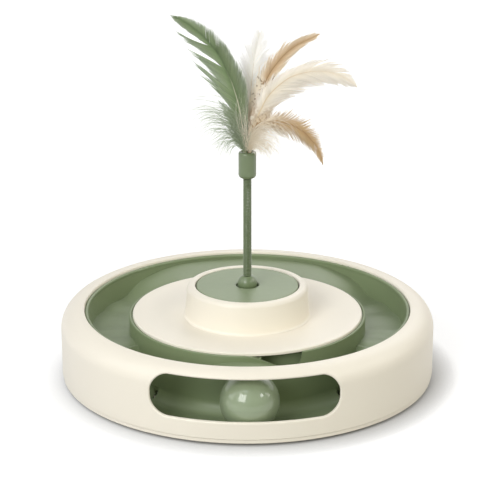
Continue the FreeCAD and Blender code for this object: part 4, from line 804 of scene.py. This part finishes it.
def hairs_between(guides, amount, depth, spread, rng, breadth, wave, shortest=0.35):
    """Fine hairs, each somewhere between two neighbours of a row of guide hairs. They fan out about
    the stem by the spread, in degrees, and sway by the wave, in millimetres."""
    far = np.linspace(0, 1, HAIR_POINTS)
    paths = np.array([smooth_line([(x, depth, z) for x, z in guide], HAIR_POINTS) for guide in guides])
    lines, shades, breadths = [], [], []
    for _ in range(amount):
        k = rng.integers(len(paths) - 1)
        share = rng.random()
        line = paths[k] * (1 - share) + paths[k + 1] * share
        line = line[0] + (line - line[0]) * rng.uniform(shortest, LONGEST)
        turn = math.radians(rng.normal(0, spread))
        rise = rng.normal(0, 0.10) * np.linalg.norm(line[-1] - line[0])
        x, y, z = (line - line[0]).T
        sway = rng.normal(0, wave, 3)[:, None] * np.sin(far * rng.uniform(*SWAYS) + rng.uniform(0, 6)) * far
        moved = np.array((x * math.cos(turn), x * math.sin(turn) + y, z + rise * far)) + sway
        scatter = (rng.normal(0, SIDE_SCATTER), rng.normal(0, DEPTH_SCATTER), rng.uniform(*HEIGHTS))
        lines.append(moved.T + line[0] + scatter)
        shades.append(rng.uniform(*SHADES))
        breadths.append(breadth * rng.uniform(*BREADTHS) * (1 - 0.7 * far))
    return lines, shades, breadths


def tuft(name, node, bundles, finish, seed):
    """A tuft of down that is made of one or more bundles of hairs."""
    rng = np.random.default_rng(seed)
    lines, shades, breadths = [], [], []
    for bundle in bundles:
        for all_of, some in zip((lines, shades, breadths), hairs_between(rng=rng, **bundle)):
            all_of += some
    tree, sizes = strand_tree(name + "_tree", finish.material, ROUND)
    mesh = strands_mesh(name + "_lines", lines, breadths, shades)
    made = grow(name, mesh, tree, **dict(sizes, Curl=HAIR_CURL))
    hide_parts(node)
    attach(made, "wand_head")
    print(name, "hairs:", len(lines), "faces:", len(made.data.polygons))


# %% The green down
green_down = barb_finish("green_down", colour(134, 151, 112), colour(166, 180, 148), colour(194, 205, 182),
                         contrast=(0.74, 1.14))
droop = [[(-1, 162), (-10.2, 188.1), (-19.1, 192.2), (-29.9, 193.5), (-39.7, 192.7), (-46.9, 189.4)],
         [(-1, 161), (-12.2, 182.1), (-21.1, 184.6), (-29.0, 186.6), (-38.3, 186.9), (-45.3, 183.6)],
         [(-1, 160), (-10.2, 174.9), (-17.2, 179.0), (-26.0, 183.1), (-34.9, 182.6), (-43.4, 177.5)],
         [(-1, 159), (-10.2, 171.8), (-18.6, 175.4), (-26.1, 177.0), (-32.0, 172.9), (-38.0, 167.2)],
         [(-1, 158), (-8.8, 166.2), (-14.2, 169.2), (-21.2, 170.8), (-28.1, 169.8), (-34.6, 163.6)],
         [(-1, 157), (-7.8, 162.7), (-12.2, 165.2), (-19.2, 165.2), (-25.7, 161.0), (-31.1, 157.0)],
         [(-1, 156), (-6.3, 160.6), (-10.3, 162.6), (-14.2, 162.6), (-17.7, 159.6), (-21.8, 150.7)],
         [(-1, 156), (-5.3, 158.5), (-9.3, 160.0), (-12.8, 157.4), (-14.3, 152.3), (-17.0, 146.5)]]
close_in = [[(-1, 156), (-5, 168), (-9, 178), (-12, 184), (-15, 188)],
            [(-1, 156), (-6, 163), (-10, 170), (-14, 175), (-17, 178)],
            [(-1, 155), (-6, 159), (-9, 162), (-11, 163), (-13, 162)]]
tuft("green_fluff", "green_down_tuft", [
    dict(guides=droop, amount=250, depth=-4.0, spread=14, breadth=0.1, wave=0.7, shortest=0.5),
    dict(guides=close_in, amount=160, depth=-4.5, spread=55, breadth=0.09, wave=1.3)], green_down, 21)

# %% The cream down
cream_down = barb_finish("cream_down", colour(226, 215, 193), colour(238, 229, 212), colour(247, 241, 229),
                         contrast=(0.86, 1.05), shine_through=0.1)
fall = [[(1, 160), (6, 172), (14, 178), (22, 180.0), (30, 178.0), (35, 173.0)],
        [(1, 159), (8, 168), (16, 172), (24, 171.0), (30, 167.0), (34, 160.0)],
        [(1, 158), (8.0, 164.5), (15.6, 166.3), (22.6, 163.9), (27.2, 160.1), (28.4, 151.9)],
        [(1, 157), (5.4, 161.9), (11.9, 162.1), (18.1, 158.5), (22.1, 154.3), (24.1, 149.3)],
        [(1, 156), (4.6, 160.3), (9.8, 159.1), (14.6, 156.3), (17.0, 153.3), (18.0, 149.1)],
        [(1, 156), (3.2, 158.9), (6.4, 157.5), (9.3, 154.8), (11.3, 151.3), (12.1, 148.3)]]
crown = [[(-3, 154.5), (-4, 157), (-6, 159), (-7, 159)], [(0, 155), (1, 160), (2, 164), (2, 167)],
         [(3, 155), (5, 158), (7, 159), (9, 158)]]
curls = [[(-1, 157), (-4, 166), (-7, 174), (-8, 182), (-8, 190)],
         [(0, 157), (-1, 166), (-2, 175), (-2, 184), (-1, 194)],
         [(0, 157), (2, 164), (3, 172), (5, 178), (6, 185)]]
tuft("cream_fluff", "cream_down_tuft", [
    dict(guides=fall, amount=340, depth=-5.0, spread=24, breadth=0.1, wave=0.8),
    dict(guides=crown, amount=150, depth=-1.0, spread=80, breadth=0.1, wave=0.6),
    dict(guides=curls, amount=80, depth=-6.5, spread=26, breadth=0.075, wave=2.0, shortest=0.2)],
    cream_down, 22)
